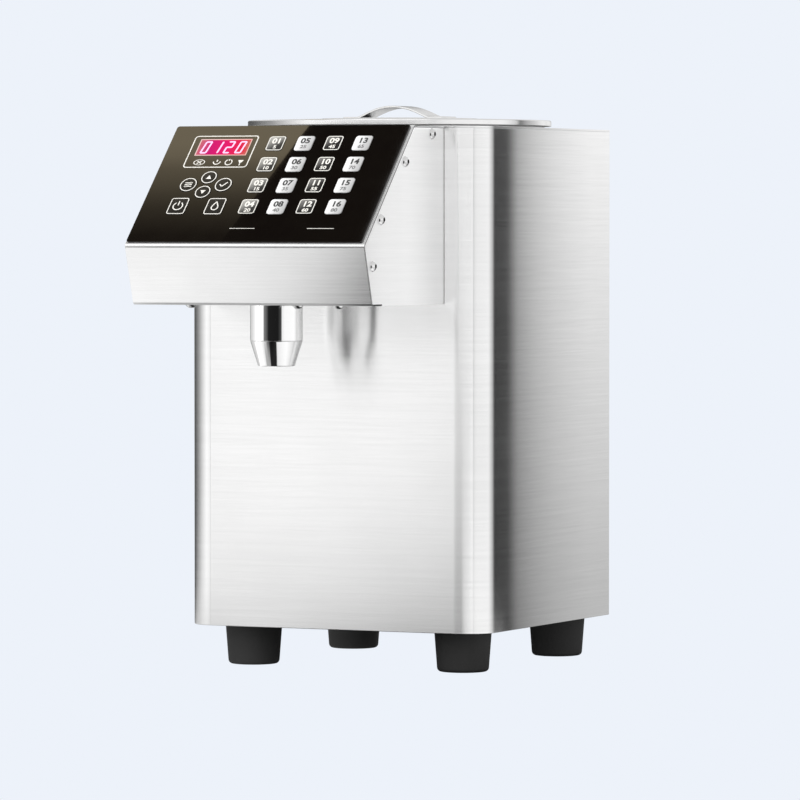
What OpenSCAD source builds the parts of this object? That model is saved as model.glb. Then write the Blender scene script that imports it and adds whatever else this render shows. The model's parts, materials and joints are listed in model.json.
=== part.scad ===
// Counter-top fructose dispenser: a stainless casing on rubber feet, a round
// syrup tank under a lift-off lid, and a sloping keypad head with a nozzle.
// Origin: on the standing surface, under the middle of the whole object.
// +X to the operator's right, -Y towards the operator, +Z up. Millimetres.

/* [Casing] */
// Space between the tank and each side wall
tank_side_gap = 22.5; // [18:0.5:40]
// Space between the tank and the front wall
tank_front_gap = 16; // [14:0.5:24]
// Space between the tank and the rear panel
tank_rear_gap = 14; // [12:0.5:30]
// Height of the casing above its feet
body_h = 400; // [395:1:440]
// Radius of the two upright front corners
corner_r = 25; // [12:1:30]
// Thickness of the casing's sheet
sheet = 1.5; // [1.2:0.1:2]
// Width of the flanges that the sheet is folded into
flange_w = 12; // [10:1:16]

/* [Feet] */
// Height of the rubber feet
foot_h = 33; // [25:1:45]
// Diameter of a foot where it meets the base
foot_top_d = 46; // [36:0.5:50]
// Diameter of a foot on the standing surface
foot_bottom_d = 41; // [32:0.5:46]
// Rounding of a foot's lower edge
foot_edge_r = 3; // [1:0.5:5]
// Diameter of the neck that is pushed through the base
foot_neck_d = 14; // [10:1:20]
// Distance of a foot's centre from the casing's side
foot_side = 39; // [30:1:45]
// Distance of the front feet from the front wall
foot_front = 44; // [30:1:50]
// Distance of the rear feet from the rear panel
foot_rear = 23; // [23:1:34]
// Sideways place of the feet's middle from the casing's middle
foot_offset = 2; // [0:0.5:3]

/* [Head] */
// Distance from the last dose column to the head's right side
head_margin = 30.5; // [26:0.5:36]
// Sideways place of the head's middle from the casing's middle
head_offset = -4.1; // [-6:0.1:0]
// Depth of the flat strip on top of the head
head_top = 54.8; // [50:0.2:60]
// How far the nose stands out from the front wall
nose_reach = 144; // [140:1:155]
// Drop from the casing's top to the nose
nose_drop = 93.6; // [92:0.2:100]
// Height of the head
head_h = 140; // [136:1:148]
// How far the lower edge of the lip is set back from the nose
lip_setback = 14; // [8:1:20]
// How far the cheeks lie inside the cover's side edges
cheek_inset = 0.5; // [0.3:0.1:1]
// Width of the cover's inner side flange
cover_flange = 17; // [16:1:20]
// Depth of the lower return of the lip
lip_return = 18; // [16:1:22]

/* [Keypad] */
// Thickness of the black keypad overlay
overlay_t = 1; // [0.6:0.1:1.4]
// Bare margin between the overlay and the head's side edges
overlay_side = 2.4; // [1.5:0.1:4]
// Bare margin between the overlay and the slope's upper edge
overlay_upper = 0.6; // [0.4:0.1:1.5]
// Bare margin between the overlay and the nose
overlay_lower = 5; // [3.5:0.5:7]
// Corner radius of the overlay
overlay_r = 4; // [2:0.5:6]
// Width of a dose key
dose_w = 14.6; // [12:0.2:16]
// Height of a dose key
dose_h = 15.6; // [12:0.2:17]
// Width of a square mode key
mode_w = 16; // [13:0.5:18]
// Height of a square mode key
mode_h = 17.6; // [13:0.2:18]
// Diameter of the set and save keys
round_d = 14.8; // [12:0.2:16]
// Diameter of the two arrow keys
arrow_d = 13.6; // [11:0.2:14]
// Corner radius of the square keys
key_r = 2.4; // [1:0.2:3]
// How far a key stands out of the overlay
key_proud = 0.4; // [0.2:0.1:1]
// How far a key travels when pressed
key_travel = 0.6; // [0.3:0.1:0.8]
// Gap between a key and the edge of its hole
key_gap = 0.3; // [0.2:0.05:0.5]
// Thickness of a key's hidden rim
key_rim_t = 1; // [0.8:0.1:1.4]
// Width of a key's hidden rim
key_rim_w = 1; // [0.6:0.1:1.2]
// Across the slope, the middle of the first dose column
dose_u = 94.7; // [92:0.1:97]
// Distance between dose columns
dose_step_u = 25.1; // [22:0.1:26]
// Down the slope, the middle of the first dose row
dose_v = 20.5; // [19:0.1:23]
// Distance between dose rows
dose_step_v = 22.8; // [20:0.1:23.5]
// Gap between the two arrow keys
arrow_gap = 2.1; // [1.6:0.1:4]

/* [Display] */
// Width of the display window
window_w = 45.8; // [38:0.2:50]
// Height of the display window
window_h = 18.2; // [14:0.2:20]
// Across the slope, the middle of the display window
window_u = 49.6; // [46:0.2:52]
// Down the slope, the middle of the display window
window_v = 24; // [22:0.2:28]
// Depth of the display module on its board
display_t = 6.2; // [6:0.1:9]
// Thickness of the control board
board_t = 1.6; // [1:0.2:2.4]

/* [Nozzle] */
// Sideways place of the nozzle from the casing's middle
nozzle_x = -15.2; // [-20:0.2:0]
// Distance of the nozzle's axis from the front wall
nozzle_out = 65.5; // [60:0.5:80]
// Diameter of the nozzle's straight sleeve
nozzle_d = 41.5; // [40:0.5:52]
// Length of the straight sleeve
sleeve_h = 30.2; // [26:0.1:40]
// Length of the tapered tip
tip_h = 19.9; // [17:0.1:26]
// Diameter of the tip's lower end
tip_d = 29; // [26:0.5:38]
// Diameter of the outlet
outlet_d = 10.4; // [9:0.2:12]
// Diameter of the valve chamber
chamber_d = 18; // [15:0.5:19]
// Diameter of the threaded stub that is nutted to the head's floor
stub_d = 22; // [21:0.5:26]
// Travel of the anti-drip valve
valve_travel = 3; // [2:0.5:4]

/* [Tank and lid] */
// Outer diameter of the syrup tank
tank_d = 220; // [200:1:222]
// Depth of the syrup tank
tank_depth = 225; // [200:1:240]
// Thickness of the tank's wall
tank_wall = 1.2; // [1:0.1:2]
// Width of the tank's flange on the deck
tank_flange = 8; // [6:0.5:9]
// How far the lid reaches past the tank
lid_overhang = 13.5; // [11:0.5:14]
// Depth of the lid's rolled rim
lid_rim_h = 4.5; // [4.5:0.5:8]
// Height of the lid's lower edge above the deck
lid_lift = 2; // [1.8:0.2:4]
// Thickness of the lid's sheet
lid_sheet = 1.2; // [0.8:0.1:1.6]
// Diameter of the lid's raised middle
crown_d = 128; // [110:1:150]
// Height of the lid's raised middle
crown_h = 1.8; // [1:0.1:4]
// Depth of the lid's locating ring in the tank's mouth
plug_h = 5; // [3:0.5:9]
// Width of the strap handle
handle_w = 28; // [20:0.5:34]
// Span of the strap handle's arch
handle_span = 67; // [54:0.5:90]
// Height of the strap handle above the lid
handle_h = 10.4; // [10:0.2:24]
// Thickness of the strap
handle_t = 1.6; // [1.2:0.1:2.4]
// Length of the strap's two welded ends
handle_end = 14; // [8:1:20]

/* [Pump] */
// Module of the two pump gears
gear_module = 2; // [1.6:0.1:2.2]
// Teeth on each pump gear
gear_teeth = 12; // [11:1:13]
// Width of the pump gears
gear_w = 17.4; // [14:0.2:20]
// Diameter of the drive shaft
shaft_d = 8; // [6:0.5:9]
// Diameter of the driven gear's fixed pin
pin_d = 6; // [5:0.5:8]
// Radial clearance of a shaft in its bore
shaft_fit = 0.05; // [0.03:0.01:0.08]
// Gap between a gear and the pump's walls
gear_gap = 0.3; // [0.25:0.05:0.5]
// Height of the drive shaft above the base plate
pump_lift = 38; // [36:1:44]
// Distance of the pump's middle to the left of the casing's middle
pump_side = 76; // [72:1:82]
// Diameter of the pump motor
motor_d = 56; // [50:1:60]
// Length of the pump motor
motor_len = 85; // [70:1:95]
// Thickness of the pump's bracket
bracket_t = 3; // [2:0.5:4]

/* [Hoses] */
// Outer diameter of the syrup hose
hose_d = 11; // [10:0.5:12]
// Bore of the syrup hose
hose_bore = 7; // [6:0.5:8]
// Radius of the hose's bends, to its middle
bend_r = 18; // [15:0.5:19]
// Length of a hose barb
barb_len = 9; // [7:0.5:10]

/* [Electrics] */
// Width of the power supply
supply_w = 70; // [60:1:80]
// Depth of the power supply
supply_d = 90; // [70:1:95]
// Height of the power supply
supply_h = 40; // [30:1:45]
// Height of the power supply's feet
supply_foot = 6; // [4:0.5:10]
// Sideways place of the power inlet
inlet_x = 45; // [40:1:60]
// Sideways place of the rocker switch
switch_x = -5; // [-20:1:0]
// Height of the inlet and the switch above the base plate
inlet_lift = 80; // [70:1:90]
// Swing of the rocker between off and on
rocker_swing = 16; // [10:1:20]

/* [Screws] */
// Thread diameter of the casing screws
screw_d = 3.9; // [3:0.1:4]
// Diameter of the screws' domed heads
screw_head_d = 8.8; // [6.5:0.1:9]
// Height of the screws' domed heads
screw_head_h = 2.8; // [1.6:0.1:3]
// Length of the screws below the head
screw_len = 7; // [5:0.5:8]

/* [Hidden] */

$fn = 64;

// Colours of the finishes
steel_colour = [0.80, 0.80, 0.81];
bright_colour = [0.90, 0.90, 0.92];
black_colour = [0.06, 0.05, 0.05];
rubber_colour = [0.10, 0.10, 0.10];
board_colour = [0.10, 0.35, 0.18];
hose_colour = [0.88, 0.90, 0.88];
red_colour = [0.85, 0.05, 0.30];
grey_colour = [0.45, 0.45, 0.47];
orange_colour = [0.80, 0.40, 0.15];

// Small overrun of a cutting shape past the face it cuts
past = 1;
// Gap between pieces that move against each other without bearing
run_gap = 0.3;

// Rocker switch and its housing
rocker_w = 15;
rocker_r = 12;
rocker_face = 7;
switch_flange_t = 2;
switch_depth = 20;
switch_rim = 3;
rocker_sink = 2.5;

// How far the rocker stands out behind the rear panel in its rest position
rocker_half = sqrt(rocker_r * rocker_r - rocker_face * rocker_face);
rocker_pin_r = 1.5;
rocker_hollow = 1.5;
pin_skin = 1;
pin_play = 1;
rear_reach = rocker_face * cos(rocker_swing / 2) + rocker_half * sin(rocker_swing / 2) - rocker_sink;

// Main planes
tank_r = tank_d / 2;
body_w = tank_d + 2 * tank_side_gap;
body_d = tank_front_gap + tank_d + tank_rear_gap;
front_y = round(50 * (nose_reach - body_d - rear_reach)) / 100;
back_y = front_y + body_d;
top_z = foot_h + body_h;
base_top = foot_h + sheet;

// Head profile, as distance out from the front wall and height
dose_columns = 4;
dose_rows = 4;
dose_right = dose_u + dose_step_u * (dose_columns - 1) + dose_w / 2;
head_w = dose_right + head_margin;
head_left = head_offset - head_w / 2;
head_right = head_offset + head_w / 2;
head_bottom = top_z - head_h;
slope_run = nose_reach - head_top;
slope_len = norm([slope_run, nose_drop]);
slope_angle = atan2(nose_drop, slope_run);
lip_h = head_h - nose_drop;
profile = [
    [0, top_z],
    [head_top, top_z],
    [nose_reach, top_z - nose_drop],
    [nose_reach - lip_setback, head_bottom]
];
cheek_outer = head_left + cheek_inset;
cheek_inner = cheek_outer + sheet;
cheek_outer_right = head_right - cheek_inset;
cheek_inner_right = cheek_outer_right - sheet;

// Cheek screws, as distance out from the front wall and drop below the casing's top
cheek_screw_depth = 9;
lip_screw_depth = 12;
lip_screw_at = 0.34;
cheek_screws = [
    [21.5, 6.6],
    cheek_point(0.24),
    cheek_point(0.72),
    [nose_reach - lip_setback * lip_screw_at - lip_screw_depth, nose_drop + lip_h * lip_screw_at]
];

// Floor screws, across from the casing's middle
floor_screws = [-62, 31, 66];
floor_screw_out = nose_reach - lip_setback - lip_return / 2 - sheet;
// Head fixing screws, as heights
fixing_low = 30;
fixing_high = 32;
fixing_heights = [head_bottom + fixing_low, top_z - fixing_high];
fixing_side = sheet + flange_w / 2;
// Rear panel screws
rear_screw_x = body_w / 2 - sheet - flange_w / 2;
rear_screw_rows = 4;
rear_screw_end = 22;
screw_clearance = 0.25;
thread_clearance = 0.05;
screw_socket_d = 2.6;
screw_socket_depth = 1.1;

// Feet
foot_x = body_w / 2 - foot_side;
foot_lip = 2.5;
foot_lip_t = 3;

// Keypad layers, measured outwards from the slope's face
key_top = overlay_t + key_proud;
key_rim_top = -run_gap;
key_bottom = key_rim_top - key_rim_t;
switch_top = key_bottom - key_travel - run_gap;
board_top = overlay_t - display_t - sheet;
board_screw_gap = 1;
board_margin = cheek_inset + screw_len + board_screw_gap;
post_d = 5;
post_edge = 4;
post_inset = board_margin + post_edge;
board_top_v = 8;
board_nose_gap = 12.3;
board_low_v = slope_len - overlay_lower - board_nose_gap;
// Larger components on the board: place across and up, width, length and height
board_parts = [[-60, -20, 18, 14, 8], [-20, -24, 30, 20, 12], [40, -18, 14, 14, 3]];
plunger_d = 3.4;
plunger_h = 0.8;
switch_w = 6;

// Function keys, as places across and down the slope
set_at = [33.4, 65.1];
save_at = [64.3, 65.2];
arrows_at = [48.9, 65.1];
up_at = arrows_at - [0, (arrow_d + arrow_gap) / 2];
down_at = arrows_at + [0, (arrow_d + arrow_gap) / 2];
power_at = [32.6, 88.3];
rinse_at = [65.4, 88.6];

// Opening in the slope behind the keys and the display
display_border = 2;
aperture_clearance = 2.5;
aperture_margin = key_rim_w + aperture_clearance;
aperture_u = [
    min(power_at[0] - mode_w / 2, window_u - window_w / 2 - display_border) - aperture_margin,
    dose_right + aperture_margin
];
aperture_v = [
    min(dose_v - dose_h / 2, window_v - window_h / 2 - display_border) - aperture_margin,
    max(dose_v + dose_step_v * (dose_rows - 1) + dose_h / 2, rinse_at[1] + mode_h / 2) + aperture_margin
];

// Nozzle heights
floor_under = head_bottom + sheet;
floor_top = floor_under + sheet;
seam_z = floor_under - sleeve_h;
outlet_z = seam_z - tip_h;
nozzle_y = front_y - nozzle_out;
nut_h = 5;
nut_wall = 5;
nut_af = stub_d + 2 * nut_wall;
stub_end = 3;
stub_top = floor_top + nut_h + stub_end;
guide_drop = 4;
guide_top = seam_z - guide_drop;
guide_t = 6;
guide_bottom = guide_top - guide_t;
stem_d = 4;
flow_hole_d = 2.2;
flow_offset = 0.4;
flow_circle = (outlet_d + stem_d) / 4 + flow_offset;
chamber_top = floor_top;
valve_t = 2.7;
valve_d = 12;
valve_top = chamber_top - run_gap;
valve_under = valve_top - valve_t;
stem_bottom = guide_bottom + valve_travel;
spring_wall = 2;
spring_gap = 0.7;
spring_bore = stem_d + 2 * spring_gap;
bore_d = 5;

// Tank and lid heights
tank_y = front_y + tank_front_gap + tank_r;
tank_bottom = top_z - tank_depth;
deck_fit = 0.5;
flange_top = top_z + tank_wall;
lid_bottom = top_z + lid_lift;
lid_r = tank_r + lid_overhang;
lid_top = lid_bottom + lid_rim_h;
crown_top = lid_top + crown_h;
rim_round = 1;
gasket_edge = 1;
plug_gap = 1.5;
plug_r = tank_r - tank_wall - plug_gap;
tank_hole_r = 8;
heater_t = 2;
heater_h = 40;
heater_rise = 18;
outlet_lip_r = 12;
outlet_lip_t = 1.5;
outlet_flange_r = 14;
outlet_flange_t = 4;

// Pump
pitch_r = gear_module * gear_teeth / 2;
gear_distance = 2 * pitch_r;
addendum = 0.8 * gear_module;
dedendum = 1.1 * gear_module;
pressure_angle = 25;
backlash = 0.12;
gear_tip_r = pitch_r + addendum;
gear_root_r = pitch_r - dedendum;
cavity_r = gear_tip_r + gear_gap;
pump_wall = 8;
pump_half = cavity_r + pump_wall;
pump_x = -pump_side;
shaft_z = base_top + pump_lift;
port_z = shaft_z + pitch_r;
cavity_len = gear_w + 2 * gear_gap;
back_wall = 6;
pump_left = pump_x - cavity_len / 2;
cavity_right = pump_x + cavity_len / 2;
pump_right = cavity_right + back_wall;
cover_t = 4;
bracket_right = pump_right + bracket_t;
bracket_foot = 30;
bracket_gap = 1;
motor_bearing = 20;
port_d = 5;

// Hoses
barb_fit = 0.05;
barb_r = hose_bore / 2 - barb_fit;
bend_wall_gap = 2;
straight_past_barb = 1;
rise_past_barb = 4;
riser_y = front_y + sheet + bend_r + bend_wall_gap;
pump_y = riser_y + bend_r + barb_len + straight_past_barb + pump_half;
crossing_z = stub_top + barb_len + bend_r + rise_past_barb;
outlet_barb_top = tank_bottom - outlet_flange_t;
hose_hole_gap = 1.5;
hose_hole_r = hose_d / 2 + hose_hole_gap;
wire_hole_r = 9;
wire_hole_x = 40;

// Electrics
supply_offset = 10;
supply_rear_gap = 12;
supply_x = supply_w / 2 + supply_offset;
supply_y = back_y - sheet - supply_rear_gap - supply_d / 2;
inlet_z = base_top + inlet_lift;
inlet_w = 27;
inlet_h = 20;
inlet_depth = 24;
inlet_flange_t = 2.5;
inlet_flange_w = 48;
inlet_flange_h = 24;
socket_w = 23.6;
socket_h = 16.4;
socket_depth = 17;
blade_t = 2;
blade_h = 4;
blade_len = 13;
blade_step = 7;
blade_drop = 2;

// Unit vector along v
function unit(v) = v / norm(v);
// Normal to the right of direction v
function right_of(v) = [v[1], -v[0]];
// Corner b of the path a-b-c, moved d to the path's right
function moved_corner(a, b, c, d) =
    let (m = right_of(unit(b - a)), n = right_of(unit(c - b)))
    b + d * (m + n) / (1 + m * n);
// How far the lip's face stands out at a height, d inside its outer face
function lip_out(z, d = 0) =
    nose_reach - lip_setback * (top_z - nose_drop - z) / lip_h
    - d / cos(atan2(lip_setback, lip_h));
// Head profile moved d inwards, ending at the height low
function inner_profile(d, low) = [
    [0, top_z - d],
    moved_corner(profile[0], profile[1], profile[2], d),
    moved_corner(profile[1], profile[2], profile[3], d),
    [lip_out(low, d), low]
];
// Cheek screw under the slope, at the fraction t of its length
function cheek_point(t) = [
    head_top + slope_run * t - cheek_screw_depth * sin(slope_angle),
    nose_drop * t + cheek_screw_depth * cos(slope_angle)
];
// List p in reverse
function reversed(p) = [for (i = [len(p) - 1:-1:0]) p[i]];
// Points given as distance out and height, in the side view
function in_side_view(p) = [for (q = p) [front_y - q[0], q[1]]];
// Place of a dose key, counted down the columns from 1
function dose_at(i) = [
    dose_u + dose_step_u * floor((i - 1) / dose_rows),
    dose_v + dose_step_v * ((i - 1) % dose_rows)
];

// Plan of the casing, moved in at the front and sides
module casing_plan(inset, back = back_y) {
    side = body_w / 2;
    translate([inset - side, front_y + corner_r]) square([2 * (side - inset), back - front_y - corner_r]);
    translate([corner_r - side, front_y + inset]) square([2 * (side - corner_r), corner_r]);
    for (x = [corner_r - side, side - corner_r])
        translate([x, front_y + corner_r]) circle(corner_r - inset, $fn = 96);
}

// Side view shape made solid between two places across
module across(from, to) {
    translate([from, 0, 0]) rotate([90, 0, 90]) linear_extrude(to - from) children();
}

// Rectangle with round corners, about its middle
module round_rect(w, h, r) {
    square([w, h - 2 * r], center = true);
    square([w - 2 * r, h], center = true);
    for (x = [-1, 1], y = [-1, 1])
        translate([x * (w / 2 - r), y * (h / 2 - r)]) circle(r, $fn = 32);
}

// Puts children on the slope, u across from the head's left and v down from its upper edge
module on_slope(u, v, out = 0) {
    translate([head_left, front_y - head_top, top_z])
        rotate([slope_angle, 0, 0])
            translate([u, -v, out]) children();
}

// Puts children at each foot
module at_feet() {
    for (x = [foot_offset - foot_x, foot_offset + foot_x], y = [front_y + foot_front, back_y - foot_rear])
        translate([x, y, 0]) children();
}

// Puts children at each cheek screw, with their +Z out of the cheek
module at_cheek_screws(side) {
    x = side < 0 ? cheek_outer : cheek_outer_right;
    for (p = cheek_screws)
        translate([x, front_y - p[0], top_z - p[1]]) rotate([0, 90 * side, 0]) children();
}

// Puts children at each screw under the head, with their +Z downwards
module at_floor_screws() {
    for (x = floor_screws)
        translate([x, front_y - floor_screw_out, head_bottom]) rotate([180, 0, 0]) children();
}

// Puts children at each head fixing screw, with their +Z into the casing
module at_fixing_screws() {
    for (x = [cheek_outer + fixing_side, cheek_outer_right - fixing_side], z = fixing_heights)
        translate([x, front_y + sheet, z]) rotate([-90, 0, 0]) children();
}

// Puts children at each rear panel screw, with their +Z out of the panel
module at_rear_screws() {
    span = top_z - foot_h - 2 * rear_screw_end;
    for (x = [-rear_screw_x, rear_screw_x], i = [0:rear_screw_rows - 1])
        translate([x, back_y, foot_h + rear_screw_end + span * i / (rear_screw_rows - 1)])
            rotate([-90, 0, 0]) children();
}

// Clearance hole for a casing screw
module screw_hole() {
    translate([0, 0, -screw_len - past]) cylinder(screw_len + 2 * past, r = screw_d / 2 + screw_clearance, $fn = 24);
}

// Tapped hole for a casing screw
module tapped_hole() {
    translate([0, 0, -screw_len - past]) cylinder(screw_len + 2 * past, r = screw_d / 2 + thread_clearance, $fn = 24);
}

// Dome-headed screw with a hexagon socket, its head above z = 0
module dome_screw() {
    head_r = screw_head_d / 2;
    dome_r = (head_r * head_r + screw_head_h * screw_head_h) / (2 * screw_head_h);
    dome_angle = asin(head_r / dome_r);
    difference() {
        rotate_extrude($fn = 32) polygon(concat(
            [[0, -screw_len], [screw_d / 2, -screw_len], [screw_d / 2, 0]],
            [for (i = [0:4]) let (a = dome_angle * (1 - i / 4))
                [dome_r * sin(a), screw_head_h - dome_r + dome_r * cos(a)]]
        ));
        translate([0, 0, screw_head_h - screw_socket_depth])
            cylinder(screw_socket_depth + past, d = screw_socket_d, $fn = 6);
    }
}

// Front and side walls folded from one sheet, with return flanges at the rear
module body_shell() {
    inner_w = body_w / 2 - sheet;
    color(steel_colour) difference() {
        union() {
            translate([0, 0, foot_h]) linear_extrude(body_h - sheet) difference() {
                casing_plan(0);
                casing_plan(sheet, back_y + past);
            }
            for (side = [-1, 1])
                translate([side * (inner_w - (flange_w - sheet / 2) / 2), back_y - 1.5 * sheet, (base_top + top_z - sheet) / 2])
                    cube([flange_w + sheet / 2, sheet, top_z - sheet - base_top], center = true);
        }
        at_rear_screws() tapped_hole();
        at_fixing_screws() screw_hole();
        translate([pump_x, front_y - past, crossing_z]) rotate([-90, 0, 0]) cylinder(sheet + 2 * past, r = hose_hole_r);
        translate([wire_hole_x, front_y - past, crossing_z]) rotate([-90, 0, 0]) cylinder(sheet + 2 * past, r = wire_hole_r);
    }
}

// Top plate with a folded edge and the tank's opening
module top_deck() {
    fold_h = 10;
    color(steel_colour) difference() {
        union() {
            translate([0, 0, top_z - sheet]) linear_extrude(sheet) casing_plan(0);
            translate([0, 0, top_z - sheet - fold_h]) linear_extrude(fold_h + sheet / 2) difference() {
                casing_plan(sheet, back_y - 2 * sheet);
                casing_plan(2 * sheet, back_y);
            }
        }
        translate([0, tank_y, top_z - sheet - past]) cylinder(sheet + 2 * past, r = tank_r + deck_fit, $fn = 96);
    }
}

// Rear panel with vents and the cut-outs for the switch and the power inlet
module rear_panel() {
    panel_w = body_w - 2 * sheet;
    panel_h = body_h - sheet;
    slot_w = 38;
    slot_h = 3;
    slot_step = 8;
    slot_side = 30;
    slot_rise = 40;
    color(steel_colour) difference() {
        translate([-panel_w / 2, back_y - sheet, foot_h]) cube([panel_w, sheet, panel_h]);
        at_rear_screws() screw_hole();
        translate([inlet_x, back_y, inlet_z]) cube([inlet_w, 4 * sheet, inlet_h], center = true);
        translate([switch_x, back_y, inlet_z]) cube(switch_body(), center = true);
        for (x = [-slot_side, slot_side], i = [0:6])
            translate([x, back_y, inlet_z + slot_rise + slot_step * i]) cube([slot_w, 4 * sheet, slot_h], center = true);
    }
}

// Base plate with holes for the feet and air slots
module base_plate() {
    slot_w = 3;
    slot_len = 40;
    slot_step = 8;
    slots_x = supply_x - 5;
    slots_back = 70;
    color(steel_colour) difference() {
        translate([0, 0, foot_h]) linear_extrude(sheet) casing_plan(sheet, back_y - sheet);
        at_feet() translate([0, 0, foot_h - past]) cylinder(sheet + 2 * past, d = foot_neck_d);
        for (i = [-3:3])
            translate([slots_x + slot_step * i, front_y + slots_back, foot_h]) cube([slot_w, slot_len, 4 * sheet], center = true);
    }
}

// Four push-in rubber feet
module rubber_feet() {
    low_r = foot_bottom_d / 2;
    neck_r = foot_neck_d / 2;
    color(rubber_colour) at_feet() rotate_extrude() polygon(concat(
        [[0, 0]],
        [for (a = [-90:22.5:0]) [low_r - foot_edge_r + foot_edge_r * cos(a), foot_edge_r + foot_edge_r * sin(a)]],
        [[foot_top_d / 2, foot_h], [neck_r, foot_h], [neck_r, base_top],
         [neck_r + foot_lip, base_top], [neck_r + foot_lip - 1, base_top + foot_lip_t], [0, base_top + foot_lip_t]]
    ));
}

// Folded cover: top strip, slope, lip and lower return, with inner side flanges
module head_cover() {
    flange_low = floor_top + sheet;
    flange_start = 2 * sheet;
    color(steel_colour) difference() {
        union() {
            across(head_left, head_right) polygon(in_side_view(concat(
                inner_profile(0, head_bottom), reversed(inner_profile(sheet, head_bottom)))));
            for (x = [cheek_inner, cheek_inner_right - sheet])
                across(x, x + sheet) intersection() {
                    polygon(in_side_view(concat(
                        inner_profile(sheet / 2, flange_low),
                        reversed(inner_profile(sheet + cover_flange, flange_low)))));
                    translate([front_y - flange_start - nose_reach, flange_low]) square([nose_reach, head_h]);
                }
            across(cheek_inner, cheek_inner_right)
                translate([front_y - lip_out(head_bottom, sheet / 2), head_bottom]) square([lip_return, sheet]);
            for (u = [post_inset, head_w - post_inset], v = [board_top_v + post_d, board_low_v - post_d])
                on_slope(u, v, board_top) cylinder(-board_top - sheet / 2, d = post_d);
        }
        on_slope(
            (aperture_u[0] + aperture_u[1]) / 2, (aperture_v[0] + aperture_v[1]) / 2, 0)
            cube([aperture_u[1] - aperture_u[0], aperture_v[1] - aperture_v[0], 4 * sheet], center = true);
        at_cheek_screws(-1) tapped_hole();
        at_cheek_screws(1) tapped_hole();
        at_floor_screws() screw_hole();
    }
}

// Side cheek with a rear flange; side is -1 for the left one and 1 for the right one
module head_cheek(side) {
    outer = side < 0 ? cheek_outer : cheek_inner_right;
    flange_x = side < 0 ? cheek_outer : cheek_inner_right - flange_w;
    flange_low = floor_top;
    color(steel_colour) difference() {
        union() {
            across(outer, outer + sheet) polygon(in_side_view(concat(
                inner_profile(sheet, head_bottom), [[0, head_bottom]])));
            translate([flange_x, front_y - sheet, flange_low])
                cube([flange_w + sheet, sheet, top_z - sheet - flange_low]);
        }
        at_cheek_screws(side) screw_hole();
        at_fixing_screws() tapped_hole();
    }
}

// Floor of the head, which carries the nozzle
module head_floor() {
    reach = lip_out(floor_under, sheet);
    color(steel_colour) difference() {
        translate([cheek_inner, front_y - reach, floor_under])
            cube([cheek_inner_right - cheek_inner, reach, sheet]);
        translate([nozzle_x, nozzle_y, floor_under - past]) cylinder(sheet + 2 * past, d = stub_d);
        at_floor_screws() tapped_hole();
    }
}

// Black overlay with a hole for each key and for the display window
module keypad_overlay() {
    w = head_w - 2 * overlay_side;
    h = slope_len - overlay_upper - overlay_lower;
    color(black_colour) difference() {
        on_slope(head_w / 2, overlay_upper + h / 2) linear_extrude(overlay_t) round_rect(w, h, overlay_r);
        for (i = [1:dose_columns * dose_rows]) key_hole(dose_at(i)) round_rect(dose_w + 2 * key_gap, dose_h + 2 * key_gap, key_r + key_gap);
        for (p = [power_at, rinse_at])
            key_hole(p) round_rect(mode_w + 2 * key_gap, mode_h + 2 * key_gap, key_r + key_gap);
        for (p = [set_at, save_at]) key_hole(p) circle(round_d / 2 + key_gap);
        for (p = [up_at, down_at]) key_hole(p) circle(arrow_d / 2 + key_gap);
        key_hole([window_u, window_v]) square([window_w, window_h], center = true);
    }
}

// Hole through the overlay with the plan of its child
module key_hole(p) {
    on_slope(p[0], p[1], -past) linear_extrude(overlay_t + 2 * past) children();
}

// Clear red window over the display
module display_window() {
    color(red_colour) on_slope(window_u, window_v)
        linear_extrude(overlay_t) square([window_w, window_h], center = true);
}

// Block of display digits between the board and the window
module display_module() {
    color(black_colour) on_slope(window_u, window_v, board_top)
        linear_extrude(-board_top) square([window_w + 2 * display_border, window_h + 2 * display_border], center = true);
}

// Circuit board behind the slope, with its larger components below
module control_board() {
    w = head_w - 2 * board_margin;
    h = board_low_v - board_top_v;
    color(board_colour) on_slope(head_w / 2, board_top_v + h / 2, board_top - board_t) {
        linear_extrude(board_t) square([w, h], center = true);
        for (part = board_parts) translate([part[0], part[1], -part[4]])
            cube([part[2], part[3], part[4] + board_t / 2]);
    }
}

// Push switch under each key
module key_switches() {
    body_t = switch_top - plunger_h - board_top;
    places = concat(
        [for (i = [1:dose_columns * dose_rows]) dose_at(i)], [set_at, save_at, up_at, down_at, power_at, rinse_at]);
    color(grey_colour) for (p = places) on_slope(p[0], p[1], board_top) {
        linear_extrude(body_t) square(switch_w, center = true);
        cylinder(body_t + plunger_h, d = plunger_d, $fn = 24);
    }
}

// Key cap with a hidden rim: child 0 is its face, child 1 is its rim
module key_at(p) {
    on_slope(p[0], p[1], key_bottom) {
        linear_extrude(key_top - key_bottom) children(0);
        linear_extrude(key_rim_t) children(1);
    }
}

// Dose key, counted down the columns from 1
module dose_key(i) {
    tone = floor((i - 1) / dose_rows) % 2 == 0 ? grey_colour : bright_colour;
    color(tone) key_at(dose_at(i)) {
        round_rect(dose_w, dose_h, key_r);
        round_rect(dose_w + 2 * key_rim_w, dose_h + 2 * key_rim_w, key_r);
    }
}

// Square mode key
module mode_key(p) {
    color(black_colour) key_at(p) {
        round_rect(mode_w, mode_h, key_r);
        round_rect(mode_w + 2 * key_rim_w, mode_h + 2 * key_rim_w, key_r);
    }
}

// Round key of diameter d
module round_key(p, d) {
    color(black_colour) key_at(p) {
        circle(d / 2);
        circle(d / 2 + key_rim_w / 2);
    }
}

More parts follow.
